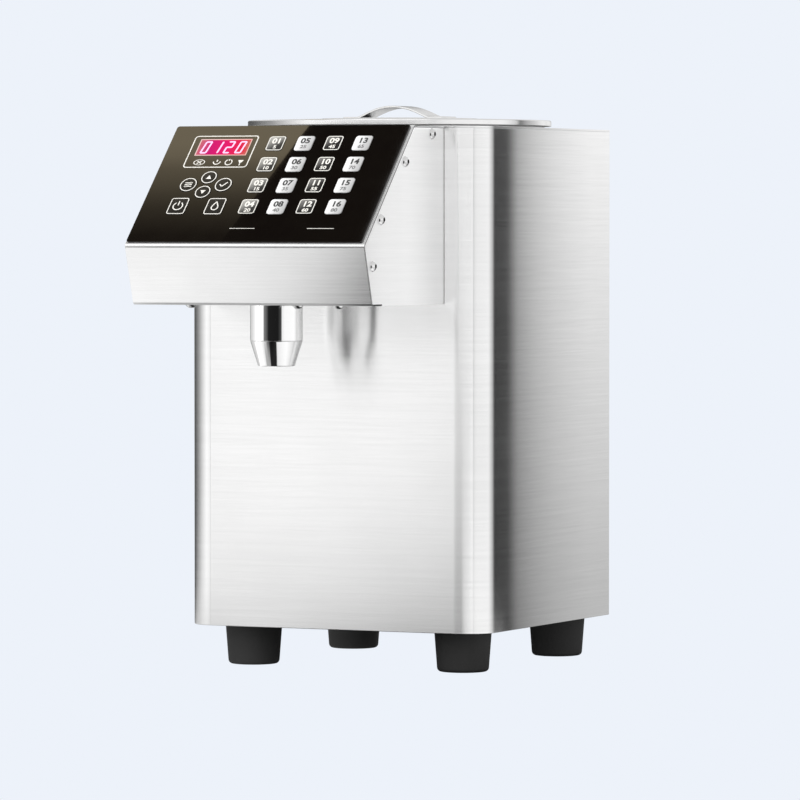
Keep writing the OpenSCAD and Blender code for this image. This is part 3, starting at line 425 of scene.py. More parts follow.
@dataclass(frozen=True)
class Finish:
    """Surface finish of a material.

    Attributes:
        name: Name of the material.
        colour: Its main colour.
        shade: Its darker tone, between the lines of the grain.
        metallic: 1 for bare metal, 0 for the rest.
        roughness: Mean roughness.
        spread: How far the grain moves the roughness.
        grain: Pattern of the grain.
        stretch: Lines per metre across each axis, for brushed lines.
        rings: Rings per metre, for spun rings.
        pebble: Pebbles per metre, for a moulded surface.
        centre: Middle of the pattern, in millimetres.
        relief: Depth of the grain, in millimetres.
        smear: Axis along which brushed metal smears a reflection.
        anisotropy: How strongly it does.
        coat: Weight of a clear coat.
        specular: Strength of the plain gloss; 0.5 is usual.
        handling: How much roughness the wiped patches add.
        see_through: Weight of transmitted light.
    """

    name: str
    colour: Colour
    shade: Colour
    metallic: float = 0.0
    roughness: float = 0.4
    spread: float = 0.05
    grain: Grain = Grain.PEBBLE
    stretch: Triple = (18.0, 18.0, 1700.0)
    rings: float = 2600.0
    pebble: float = 900.0
    centre: Triple = (0.0, 0.0, 0.0)
    relief: float = 0.02
    smear: Triple = (0.0, 0.0, 1.0)
    anisotropy: float = 0.0
    coat: float = 0.0
    specular: float = 0.5
    handling: float = 0.05
    see_through: float = 0.0

    def material(self) -> bpy.types.Material:
        """Makes the material at the first call.

        Returns:
            The material.
        """
        found = bpy.data.materials.get(self.name)
        if found:
            return found
        made = bpy.data.materials.new(self.name)
        made.use_nodes = True
        w = Wiring(made.node_tree)
        shader = made.node_tree.nodes["Principled BSDF"]
        place = self._place(w)
        tone, height = self._grain(w, place)
        mask = w.use(EFFECTS.handling, Place=place, Scale=14.0).outputs["Mask"]
        w.feed(shader.inputs["Base Color"], self._colour(w, tone, mask))
        uneven = w.math("MULTIPLY", w.math("SUBTRACT", tone, 0.5), self.spread)
        rough = w.math("ADD", self.roughness, uneven)
        w.feed(shader.inputs["Roughness"], w.math("ADD", rough, w.math("MULTIPLY", mask, self.handling)))
        for label, value in (("Metallic", self.metallic), ("Coat Weight", self.coat),
                             ("Coat Roughness", COAT_ROUGHNESS), ("Specular IOR Level", self.specular),
                             ("Transmission Weight", self.see_through)):
            shader.inputs[label].default_value = value
        bump = w.node("ShaderNodeBump")
        bump.inputs["Strength"].default_value = 1.0
        bump.inputs["Distance"].default_value = self.relief * MM
        w.feed(bump.inputs["Height"], height)
        w.feed(shader.inputs["Normal"], bump.outputs[0])
        if self.anisotropy:
            shader.inputs["Anisotropic"].default_value = self.anisotropy
            w.feed(shader.inputs["Tangent"], self._smear(w, place))
        return made

    def _place(self, w: Wiring) -> Socket:
        """Finds where the pattern is read.

        Args:
            w: The material's wiring.

        Returns:
            The place, measured from the pattern's centre.
        """
        moved = w.node("ShaderNodeMapping")
        w.feed(moved.inputs["Vector"], w.coordinates("Object"))
        moved.inputs["Location"].default_value = [-x * MM for x in self.centre]
        return moved.outputs[0]

    def _grain(self, w: Wiring, place: Socket) -> tuple[Socket, Socket]:
        """Adds the grain.

        Args:
            w: The material's wiring.
            place: Where the pattern is read.

        Returns:
            The grain's tone and height.
        """
        if self.grain is Grain.LINES:
            node = w.use(EFFECTS.lines, Place=place, Stretch=self.stretch)
        elif self.grain is Grain.RINGS:
            node = w.use(EFFECTS.rings, Place=place, Rings=self.rings)
        else:
            node = w.use(EFFECTS.pebble, Place=place, Scale=self.pebble)
        return node.outputs["Tone"], node.outputs["Height"]

    def _colour(self, w: Wiring, tone: Socket, mask: Socket) -> Socket:
        """Returns the colour that the grain and the wiped patches make."""
        grained = w.mix(tone, self.shade, self.colour)
        return w.mix(w.math("MULTIPLY", mask, 0.25), grained, self.shade)

    def _smear(self, w: Wiring, place: Socket) -> Socket:
        """Finds the direction in which highlights spread.

        Args:
            w: The material's wiring.
            place: Where the pattern is read.

        Returns:
            The direction across the brushing.
        """
        if self.grain is Grain.RINGS:
            return w.vector("NORMALIZE", w.vector("MULTIPLY", place, (1.0, 1.0, 0.0)))
        joined = w.node("ShaderNodeCombineXYZ")
        for socket, value in zip(joined.inputs, self.smear):
            socket.default_value = value
        return joined.outputs[0]


@dataclass(frozen=True)
class PaintedSheenFinish(Finish):
    """Lacquered key face, lighter at the upper left and darker at the lower right: painted highlight and
    shade over the lacquer's colour.

    Attributes:
        fade_from: Where the painted highlight leaves the dark tone, from 0 at the lower right to 1 at the
            upper left.
        fade_to: Where it reaches the light colour.
        lean: Share of the height in the fade; 0 fades from left to right only.
    """

    fade_from: float = 0.3
    fade_to: float = 0.8
    lean: float = 0.6

    def _colour(self, w: Wiring, tone: Socket, mask: Socket) -> Socket:
        """Paints the highlight and shade across the key's own map, as a fade from the dark tone to the light
        colour.

        Args:
            w: The material's wiring.
            tone: The grain's tone.
            mask: The wiped patches, not used by a key.

        Returns:
            The colour.
        """
        parts = w.split(w.coordinates("UV"))
        across = w.math("SUBTRACT", 1.0, parts["X"])
        up = w.math("MULTIPLY", parts["Y"], self.lean)
        diagonal = w.math("ADD", w.math("MULTIPLY", across, 1.0 - self.lean), up)
        # share: painted highlight towards the upper left, painted shade towards the lower right
        share = w.span(diagonal, self.fade_from, self.fade_to)
        speckled = w.math("MULTIPLY", share, w.span(tone, 0.0, 1.0, 0.93, 1.0))
        return w.mix(speckled, self.shade, self.colour)


@dataclass(frozen=True)
class GlowingFinish(Finish):
    """Lit display part; on the display's rim the glow is a painted highlight.

    Attributes:
        glow: Colours across the piece's own map, from left to right.
        strength: Strength of the light.
    """

    glow: Stops = ((0.0, (1.0, 1.0, 1.0)), (1.0, (1.0, 1.0, 1.0)))
    strength: float = 1.0

    def material(self) -> bpy.types.Material:
        """Makes the material and adds its glow at the first call.

        Returns:
            The material.
        """
        fresh = bpy.data.materials.get(self.name) is None
        made = super().material()
        if fresh:
            w = Wiring(made.node_tree)
            shader = made.node_tree.nodes["Principled BSDF"]
            place = w.coordinates("UV")
            waver = w.math("SUBTRACT", w.noise(place, 5.0, 2.0), 0.5)
            share = w.math("ADD", w.split(place)["X"], w.math("MULTIPLY", waver, 0.3))
            w.feed(shader.inputs["Emission Color"], w.ramp(share, self.glow))
            shader.inputs["Emission Strength"].default_value = self.strength
        return made


@dataclass(frozen=True)
class BrushedSteel(Finish):
    """Stainless steel with brushed lines."""

    metallic: float = 1.0
    grain: Grain = Grain.LINES
    relief: float = 0.003
    handling: float = 0.015


def grey(value: float) -> Colour:
    """Returns a neutral colour."""
    return (value, value, value)


CASING = BrushedSteel("brushed_casing_steel", grey(0.93), grey(0.84), roughness=0.19, spread=0.04,
                      anisotropy=1.0)
DECK = BrushedSteel("brushed_deck_steel", grey(0.90), grey(0.84), roughness=0.24, relief=0.004,
                    stretch=(16.0, 1200.0, 16.0), smear=(0.0, 1.0, 0.0), anisotropy=0.6, handling=0.02)
HEAD = BrushedSteel("brushed_head_steel", grey(0.94), grey(0.82), roughness=0.18, spread=0.04, anisotropy=0.9)
CHEEK = BrushedSteel("brushed_cheek_steel", grey(0.93), grey(0.86), roughness=0.3, spread=0.04,
                     anisotropy=0.4)
STRAP = BrushedSteel("brushed_strap_steel", grey(0.90), grey(0.80), roughness=0.18,
                     stretch=(45.0, 1800.0, 45.0), smear=(0.0, 1.0, 0.0), anisotropy=0.5, handling=0.02)
TANK = Finish("tank_steel", grey(0.82), grey(0.70), metallic=1.0, roughness=0.22, grain=Grain.RINGS,
              relief=0.003, handling=0.04)
CHROME = Finish("polished_nozzle_chrome", grey(0.93), grey(0.90), metallic=1.0, roughness=0.05, spread=0.02,
                grain=Grain.LINES, stretch=(60.0, 60.0, 900.0), relief=0.0005, handling=0.01)
SCREW = Finish("polished_screw_steel", grey(0.85), grey(0.75), metallic=1.0, roughness=0.12, spread=0.04,
               pebble=2500.0, relief=0.002, handling=0.02)
# Painted shade: the screws' sockets are coloured near black where shade falls in the recess.
SOCKET_SHADE = Finish("screw_socket_painted_shade", grey(0.05), grey(0.03), metallic=0.6, roughness=0.4, pebble=2500.0,
                relief=0.004)
VALVE = Finish("turned_valve_steel", grey(0.75), grey(0.62), metallic=1.0, roughness=0.25, grain=Grain.LINES,
               relief=0.002)
GEAR = Finish("cut_gear_steel", grey(0.62), grey(0.48), metallic=1.0, roughness=0.3, grain=Grain.LINES,
              stretch=(2200.0, 90.0, 90.0), relief=0.003)
RUBBER = Finish("foot_rubber", grey(0.003), grey(0.0015), roughness=0.42, spread=0.08, pebble=1400.0,
                relief=0.03, specular=0.04)
# Real gasket rubber of the lid, also the painted shade in the dark strips of the head's joints.
GASKET_AND_JOINT_SHADE = Finish("gasket_rubber", grey(0.03), grey(0.018), roughness=0.55, pebble=1800.0, relief=0.02)
OVERLAY = Finish("glossy_keypad_overlay", (0.009, 0.007, 0.0055), (0.0075, 0.0055, 0.0045), roughness=0.03,
                 spread=0.01, pebble=300.0, relief=0.001, coat=1.0, handling=0.02)
# Key faces: the fade from colour to shade is painted highlight and shade, light at the upper left and dark at
# the lower right.
SILVER_KEY = PaintedSheenFinish("silver_key_lacquer", grey(0.95), grey(0.42), roughness=0.3, pebble=2500.0,
                         relief=0.004, fade_from=0.0, fade_to=0.85, lean=0.15)
LIGHT_KEY = PaintedSheenFinish("grey_key_lacquer", (0.50, 0.49, 0.46), grey(0.02), roughness=0.3, pebble=2500.0,
                        relief=0.004, fade_from=0.32, fade_to=0.92)
DARK_KEY = PaintedSheenFinish("black_key_lacquer", (0.30, 0.29, 0.28), grey(0.010), roughness=0.25, pebble=2500.0,
                       relief=0.004, fade_from=0.45, fade_to=1.05)
PLAIN_KEY = PaintedSheenFinish("plain_key_lacquer", (0.02, 0.018, 0.016), grey(0.008), roughness=0.2, pebble=2500.0,
                        relief=0.004)
PRINT = Finish("cream_print", (0.92, 0.90, 0.84), (0.86, 0.84, 0.78), roughness=0.45, pebble=4000.0,
               relief=0.002)
DARK_PRINT = Finish("dark_print", grey(0.035), grey(0.02), roughness=0.45, pebble=4000.0, relief=0.002)
GREY_PRINT = Finish("grey_print", grey(0.22), grey(0.16), roughness=0.45, pebble=4000.0, relief=0.002)
WINDOW = GlowingFinish("lit_display_window", (0.05, 0.001, 0.01), (0.04, 0.001, 0.008), roughness=0.12,
                       pebble=600.0, relief=0.001, specular=0.1,
                       glow=((0.0, (0.62, 0.16, 0.20)), (0.22, (0.62, 0.0, 0.17)), (0.6, (0.84, 0.0, 0.14)),
                             (0.85, (0.78, 0.01, 0.06)), (1.0, (0.60, 0.16, 0.12))), strength=0.95)
DIGIT = GlowingFinish("lit_display_digits", (0.3, 0.2, 0.3), (0.25, 0.15, 0.25), roughness=0.3, relief=0.001,
                      glow=((0.0, (0.95, 0.62, 0.92)), (1.0, (1.0, 0.66, 0.86))), strength=1.0)
# Painted highlight: the rim round the display window glows pale though it is no lamp.
RIM_HIGHLIGHT = GlowingFinish("display_rim_painted_highlight", (0.3, 0.2, 0.2), (0.25, 0.15, 0.15), roughness=0.3, relief=0.001,
                    glow=((0.0, (0.75, 0.55, 0.52)), (1.0, (0.72, 0.42, 0.36))), strength=0.9)
MOULDED = Finish("moulded_black_plastic", grey(0.018), grey(0.010), roughness=0.38, pebble=1100.0,
                 relief=0.03)
SWITCH = Finish("switch_plastic", grey(0.14), grey(0.10), roughness=0.4, pebble=1600.0, relief=0.02)
BOARD = Finish("board_resist", (0.010, 0.075, 0.028), (0.006, 0.05, 0.02), roughness=0.28, grain=Grain.LINES,
               stretch=(700.0, 30.0, 30.0), relief=0.03, coat=0.4)
HOSE = Finish("hose_silicone", (0.78, 0.80, 0.76), (0.66, 0.68, 0.64), roughness=0.35, pebble=700.0,
              relief=0.01, see_through=0.25)
ALLOY = Finish("cast_pump_alloy", grey(0.55), grey(0.42), metallic=1.0, roughness=0.45, pebble=1300.0,
               relief=0.05)
MOTOR = Finish("motor_lacquer", grey(0.02), grey(0.012), roughness=0.35, pebble=900.0, relief=0.02, coat=0.3)
HEATER = Finish("heater_silicone", (0.42, 0.10, 0.03), (0.33, 0.075, 0.02), roughness=0.5, grain=Grain.LINES,
                stretch=(500.0, 500.0, 500.0), relief=0.08)
SUPPLY = Finish("supply_zinc_case", grey(0.62), grey(0.50), metallic=1.0, roughness=0.42, pebble=200.0,
                relief=0.01)

CARRIED: dict[Finish, tuple[str, ...]] = {
    CASING: ("rear_panel", "base_plate", "pump_bracket", "pump_cover"),
    HEAD: ("head_floor",),
    TANK: ("tank",),
    CHROME: ("nozzle_nut", "tank_outlet"),
    SCREW: ("valve_spring",),
    VALVE: ("valve_poppet",),
    GEAR: ("drive_gear", "driven_gear"),
    GASKET_AND_JOINT_SHADE: ("lid_gasket",),
    BOARD: ("control_board",),
    SWITCH: ("key_switches",),
    MOULDED: ("display_module", "switch_housing", "switch_rocker", "power_inlet"),
    HOSE: ("suction_hose", "delivery_hose"),
    ALLOY: ("pump_body",),
    MOTOR: ("pump_motor",),
    HEATER: ("heater_band",),
    SUPPLY: ("power_supply",),
}


# ---------------------------------------------------------------- forms


def corners_of(node: str) -> tuple[Vector, Vector]:
    """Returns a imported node's lowest and highest corners, in millimetres."""
    low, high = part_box(node)
    return low / MM, high / MM


def steep(edge: BMEdge, least: float = math.radians(50)) -> bool:
    """Tells whether two faces meet at an edge with a real corner."""
    return len(edge.link_faces) == 2 and edge.calc_face_angle(0.0) > least


def corner_where(test: Callable[[Vector], bool], least: float = math.radians(50)) -> Callable[[BMEdge], bool]:
    """Makes a test for real corners whose two ends both lie somewhere.

    Args:
        test: Tells whether a place is wanted.
        least: Least angle between the corner's faces.

    Returns:
        The test of an edge.
    """
    return lambda edge: steep(edge, least) and all(test(v.co) for v in edge.verts)


def verts_in(made: Iterable[object]) -> list[BMVert]:
    """Returns the vertices among what an operator has made."""
    return [g for g in made if isinstance(g, BMVert)]


class Form:
    """A mesh that is modelled in millimetres and becomes one piece."""

    def __init__(self) -> None:
        """Starts with nothing."""
        self.mesh = bmesh.new()

    def block(self, low: Sequence[float], high: Sequence[float]) -> None:
        """Adds a box.

        Args:
            low: Its lowest corner.
            high: Its highest corner.
        """
        size = Vector(high) - Vector(low)
        place = Matrix.Translation((Vector(low) + Vector(high)) / 2) @ Matrix.Diagonal((*size, 1.0))
        bmesh.ops.create_cube(self.mesh, size=1.0, matrix=place)

    def panel(self, width: float, height: float, radius: float = 0.0, at: Pair = (0.0, 0.0),
              segments: int = 8) -> BMFace:
        """Adds a flat rectangle with round corners.

        Args:
            width: Its width.
            height: Its height.
            radius: Radius of its corners.
            at: Its middle.
            segments: Steps in each round corner.

        Returns:
            Its face.
        """
        place = Matrix.Translation((*at, 0.0)) @ Matrix.Diagonal((width, height, 1.0, 1.0))
        verts = bmesh.ops.create_grid(self.mesh, x_segments=1, y_segments=1, size=0.5, matrix=place)["verts"]
        before = set(self.mesh.faces) - set(verts[0].link_faces)
        if radius:
            bmesh.ops.bevel(self.mesh, geom=verts, offset=radius, segments=segments, profile=0.5,
                            affect="VERTICES", material=-1)
        return next(f for f in self.mesh.faces if f not in before)

    def disc(self, radius: float, at: Pair = (0.0, 0.0), segments: int = 48) -> BMFace:
        """Adds a flat disc.

        Args:
            radius: Its radius.
            at: Its middle.
            segments: Its number of corners.

        Returns:
            Its face.
        """
        made = bmesh.ops.create_circle(self.mesh, cap_ends=True, cap_tris=False, segments=segments,
                                       radius=radius, matrix=Matrix.Translation((*at, 0.0)))
        return made["verts"][0].link_faces[0]

    def outline_only(self, face: BMFace) -> None:
        """Takes a face away and leaves its edges."""
        bmesh.ops.delete(self.mesh, geom=[face], context="FACES_ONLY")

    def fill(self) -> list[BMFace]:
        """Fills the flat outlines, inner ones as holes, and returns the faces."""
        made = bmesh.ops.triangle_fill(self.mesh, edges=self.mesh.edges[:], use_beauty=True, normal=(0, 0, 1))
        return [g for g in made["geom"] if isinstance(g, BMFace)]

    def raise_faces(self, faces: Iterable[BMFace], by: Sequence[float]) -> None:
        """Extrudes faces into a solid.

        Args:
            faces: The flat faces, which stay as the solid's lower side.
            by: How far and which way the upper side goes.
        """
        made = bmesh.ops.extrude_face_region(self.mesh, geom=list(faces), use_keep_orig=True)["geom"]
        bmesh.ops.translate(self.mesh, verts=verts_in(made), vec=Vector(by))

    def lathe(self, outline: Sequence[Pair], steps: int = 96, closed: bool = False) -> None:
        """Turns an outline about the Z axis.

        Args:
            outline: Radius and height of each corner.
            steps: Steps in the full turn.
            closed: Whether the last corner joins the first.
        """
        verts = [self.mesh.verts.new((radius, 0.0, height)) for radius, height in outline]
        pairs = list(zip(verts, verts[1:])) + ([(verts[-1], verts[0])] if closed else [])
        edges = [self.mesh.edges.new(pair) for pair in pairs]
        bmesh.ops.spin(self.mesh, geom=verts + edges, cent=(0, 0, 0), axis=(0, 0, 1), dvec=(0, 0, 0),
                       angle=math.tau, steps=steps, use_merge=True, use_duplicate=False)
        self.tidy()

    def draw(self, line: Sequence[Triple], by: Sequence[float]) -> None:
        """Draws a line into a sheet.

        Args:
            line: Its corners.
            by: How far and which way it is drawn.
        """
        verts = [self.mesh.verts.new(spot) for spot in line]
        edges = [self.mesh.edges.new(pair) for pair in zip(verts, verts[1:])]
        made = bmesh.ops.extrude_edge_only(self.mesh, edges=edges)["geom"]
        bmesh.ops.translate(self.mesh, verts=verts_in(made), vec=by)

    def round_edges(self, wanted: Callable[[BMEdge], bool], radius: float, segments: int = 3) -> None:
        """Rounds the edges that a test picks.

        Args:
            wanted: The test.
            radius: Radius of the rounding.
            segments: Its steps.
        """
        edges = [e for e in self.mesh.edges if wanted(e)]
        bmesh.ops.bevel(self.mesh, geom=edges, offset=radius, segments=segments, profile=0.5, affect="EDGES",
                        clamp_overlap=True, material=-1)

    def tidy(self) -> None:
        """Merges doubles and points every face outwards."""
        bmesh.ops.remove_doubles(self.mesh, verts=self.mesh.verts[:], dist=MERGE)
        bmesh.ops.dissolve_degenerate(self.mesh, dist=MERGE, edges=self.mesh.edges[:])
        bmesh.ops.recalc_face_normals(self.mesh, faces=self.mesh.faces[:])

    def thicken(self, inwards: float) -> None:
        """Gives the sheet its thickness, inwards from the drawn side."""
        self.tidy()
        bmesh.ops.solidify(self.mesh, geom=self.mesh.faces[:], thickness=inwards)

    def move(self, place: Matrix) -> None:
        """Moves the whole mesh."""
        bmesh.ops.transform(self.mesh, matrix=place, verts=self.mesh.verts[:])

    def copy_to(self, places: Iterable[Matrix]) -> "Form":
        """Copies the mesh to each place, and ends this form.

        Args:
            places: Where the copies go.

        Returns:
            A form that holds them all.
        """
        data = bpy.data.meshes.new("repeated")
        self.mesh.to_mesh(data)
        self.mesh.free()
        group = Form()
        for place in places:
            known = set(group.mesh.verts)
            group.mesh.from_mesh(data)
            fresh = [v for v in group.mesh.verts if v not in known]
            bmesh.ops.transform(group.mesh, matrix=place, verts=fresh)
        bpy.data.meshes.remove(data)
        return group

    def map_flat(self, width: float, height: float) -> None:
        """Maps the drawn plane onto the piece's own map, whose middle is the origin.

        Args:
            width: Width that the map covers.
            height: Height that it covers.
        """
        layer = self.mesh.loops.layers.uv.verify()
        for face in self.mesh.faces:
            for loop in face.loops:
                spot = loop.vert.co
                loop[layer].uv = (spot.x / width + 0.5, spot.y / height + 0.5)

    def piece(self, name: str, finishes: Finish | Sequence[Finish], slot: str, body: str = BODY,
              stands_for: Sequence[str] = ()) -> None:
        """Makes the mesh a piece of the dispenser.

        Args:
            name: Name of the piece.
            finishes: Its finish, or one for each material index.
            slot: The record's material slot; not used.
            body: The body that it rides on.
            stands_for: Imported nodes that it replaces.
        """
        self.tidy()
        bmesh.ops.scale(self.mesh, vec=(MM, MM, MM), verts=self.mesh.verts[:])
        for face in self.mesh.faces:
            face.smooth = True
        for edge in self.mesh.edges:
            edge.smooth = len(edge.link_faces) == 2 and edge.calc_face_angle(0.0) < SHARP_ANGLE
        data = bpy.data.meshes.new(name)
        self.mesh.to_mesh(data)
        self.mesh.free()
        made = bpy.data.objects.new(name, data)
        bpy.context.scene.collection.objects.link(made)
        for finish in [finishes] if isinstance(finishes, Finish) else finishes:
            data.materials.append(finish.material())
        weighted = made.modifiers.new("even_shading", "WEIGHTED_NORMAL")
        weighted.keep_sharp = True
        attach(made, body)
        if stands_for:
            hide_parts(*stands_for)
        log.info("%s: %d faces", name, len(data.polygons))


class Print(Form):
    """Thin ink on a face, drawn flat with its middle at the origin."""

    THICKNESS = 0.03

    def __init__(self) -> None:
        """Starts with nothing, in the first ink."""
        super().__init__()
        self.ink = 0

    def _claim(self, before: set[BMFace]) -> None:
        """Gives the newest faces the present ink.

        Args:
            before: The faces that were there already.
        """
        for face in self.mesh.faces:
            if face not in before:
                face.material_index = self.ink

    def frame(self, width: float, height: float, radius: float, line: float,
              at: Pair = (0.0, 0.0)) -> None:
        """Draws a rectangular line with round corners.

        Args:
            width: Outer width.
            height: Outer height.
            radius: Outer corner radius.
            line: Width of the line.
            at: Its middle.
        """
        before = set(self.mesh.faces)
        face = self.panel(width, height, radius, at)
        bmesh.ops.inset_region(self.mesh, faces=[face], thickness=line, use_boundary=True,
                               use_even_offset=True)
        self.outline_only(face)
        self._claim(before)

    def arc(self, radius: float, line: float, start: float, end: float, at: Pair = (0.0, 0.0),
            squeeze: float = 1.0) -> None:
        """Draws a round line.

        Args:
            radius: Its middle radius.
            line: Its width.
            start: Angle where it starts, in degrees.
            end: Angle where it ends.
            at: Its middle.
            squeeze: Its height as a share of its width.
        """
        before = set(self.mesh.faces)
        first = math.radians(start)
        ray = Vector((math.cos(first), math.sin(first), 0.0))
        verts = [self.mesh.verts.new(ray * (radius + side * line / 2)) for side in (-1, 1)]
        edge = self.mesh.edges.new(verts)
        full = abs(end - start) >= 360
        bmesh.ops.spin(self.mesh, geom=verts + [edge], cent=(0, 0, 0), axis=(0, 0, 1), dvec=(0, 0, 0),
                       angle=math.radians(end - start), steps=36, use_merge=full, use_duplicate=False)
        fresh = {v for f in self.mesh.faces if f not in before for v in f.verts}
        bmesh.ops.transform(self.mesh, verts=list(fresh),
                            matrix=Matrix.Translation((*at, 0.0)) @ Matrix.Diagonal((1.0, squeeze, 1.0, 1.0)))
        self._claim(before)

    def bar(self, width: float, height: float, at: Pair, turn: float = 0.0,
            point: float = 0.0) -> None:
        """Draws a straight bar.

        Args:
            width: Its length.
            height: Its width.
            at: Its middle.
            turn: Its angle, in degrees.
            point: How far its ends are cut to a point.
        """
        before = set(self.mesh.faces)
        place = Matrix.Translation((*at, 0.0)) @ Matrix.Rotation(math.radians(turn), 4, "Z")
        shape = place @ Matrix.Diagonal((width, height, 1.0, 1.0))
        verts = bmesh.ops.create_grid(self.mesh, x_segments=1, y_segments=1, size=0.5, matrix=shape)["verts"]
        if point:
            bmesh.ops.bevel(self.mesh, geom=verts, offset=point, segments=1, profile=0.5, affect="VERTICES",
                            material=-1)
        self._claim(before)

    def triangle(self, radius: float, at: Pair, turn: float) -> None:
        """Draws a triangle.

        Args:
            radius: Distance from its middle to a corner.
            at: Its middle.
            turn: Angle of its first corner from straight up, in degrees.
        """
        before = set(self.mesh.faces)
        place = Matrix.Translation((*at, 0.0)) @ Matrix.Rotation(math.radians(turn), 4, "Z")
        bmesh.ops.create_circle(self.mesh, cap_ends=True, segments=3, radius=radius, matrix=place)
        self._claim(before)

    def words(self, text: str, size: float, at: Pair, weight: float = 0.0,
              stretch: float = 1.0) -> None:
        """Draws plain figures.

        Args:
            text: The figures.
            size: Their type size.
            at: The middle of the line.
            weight: How much bolder they are drawn.
            stretch: Their width as a share of the usual one.
        """
        before = set(self.mesh.faces)
        known = set(self.mesh.verts)
        curve = bpy.data.curves.new("figures", "FONT")
        curve.body, curve.size, curve.offset = text, size, weight
        curve.align_x, curve.align_y = "CENTER", "CENTER"
        curve.resolution_u = 4
        letters = bpy.data.objects.new("figures", curve)
        bpy.context.scene.collection.objects.link(letters)
        bpy.context.view_layer.update()
        flat = bpy.data.meshes.new_from_object(letters.evaluated_get(bpy.context.evaluated_depsgraph_get()))
        self.mesh.from_mesh(flat)
        fresh = [v for v in self.mesh.verts if v not in known]
        bmesh.ops.remove_doubles(self.mesh, verts=fresh, dist=MERGE)
        fresh = [v for v in self.mesh.verts if v not in known]
        bmesh.ops.transform(self.mesh, verts=fresh,
                            matrix=Matrix.Translation((*at, 0.0)) @ Matrix.Diagonal((stretch, 1.0, 1.0, 1.0)))
        bpy.data.objects.remove(letters)
        bpy.data.curves.remove(curve)
        bpy.data.meshes.remove(flat)
        self._claim(before)

    def set_down(self, place: Matrix) -> None:
        """Gives the ink its thickness and puts it in place.

        Args:
            place: Where the drawn plane goes.
        """
        bmesh.ops.recalc_face_normals(self.mesh, faces=self.mesh.faces[:])
        self.raise_faces(self.mesh.faces[:], (0.0, 0.0, self.THICKNESS))
        self.move(place)


# ---------------------------------------------------------------- sub-assemblies


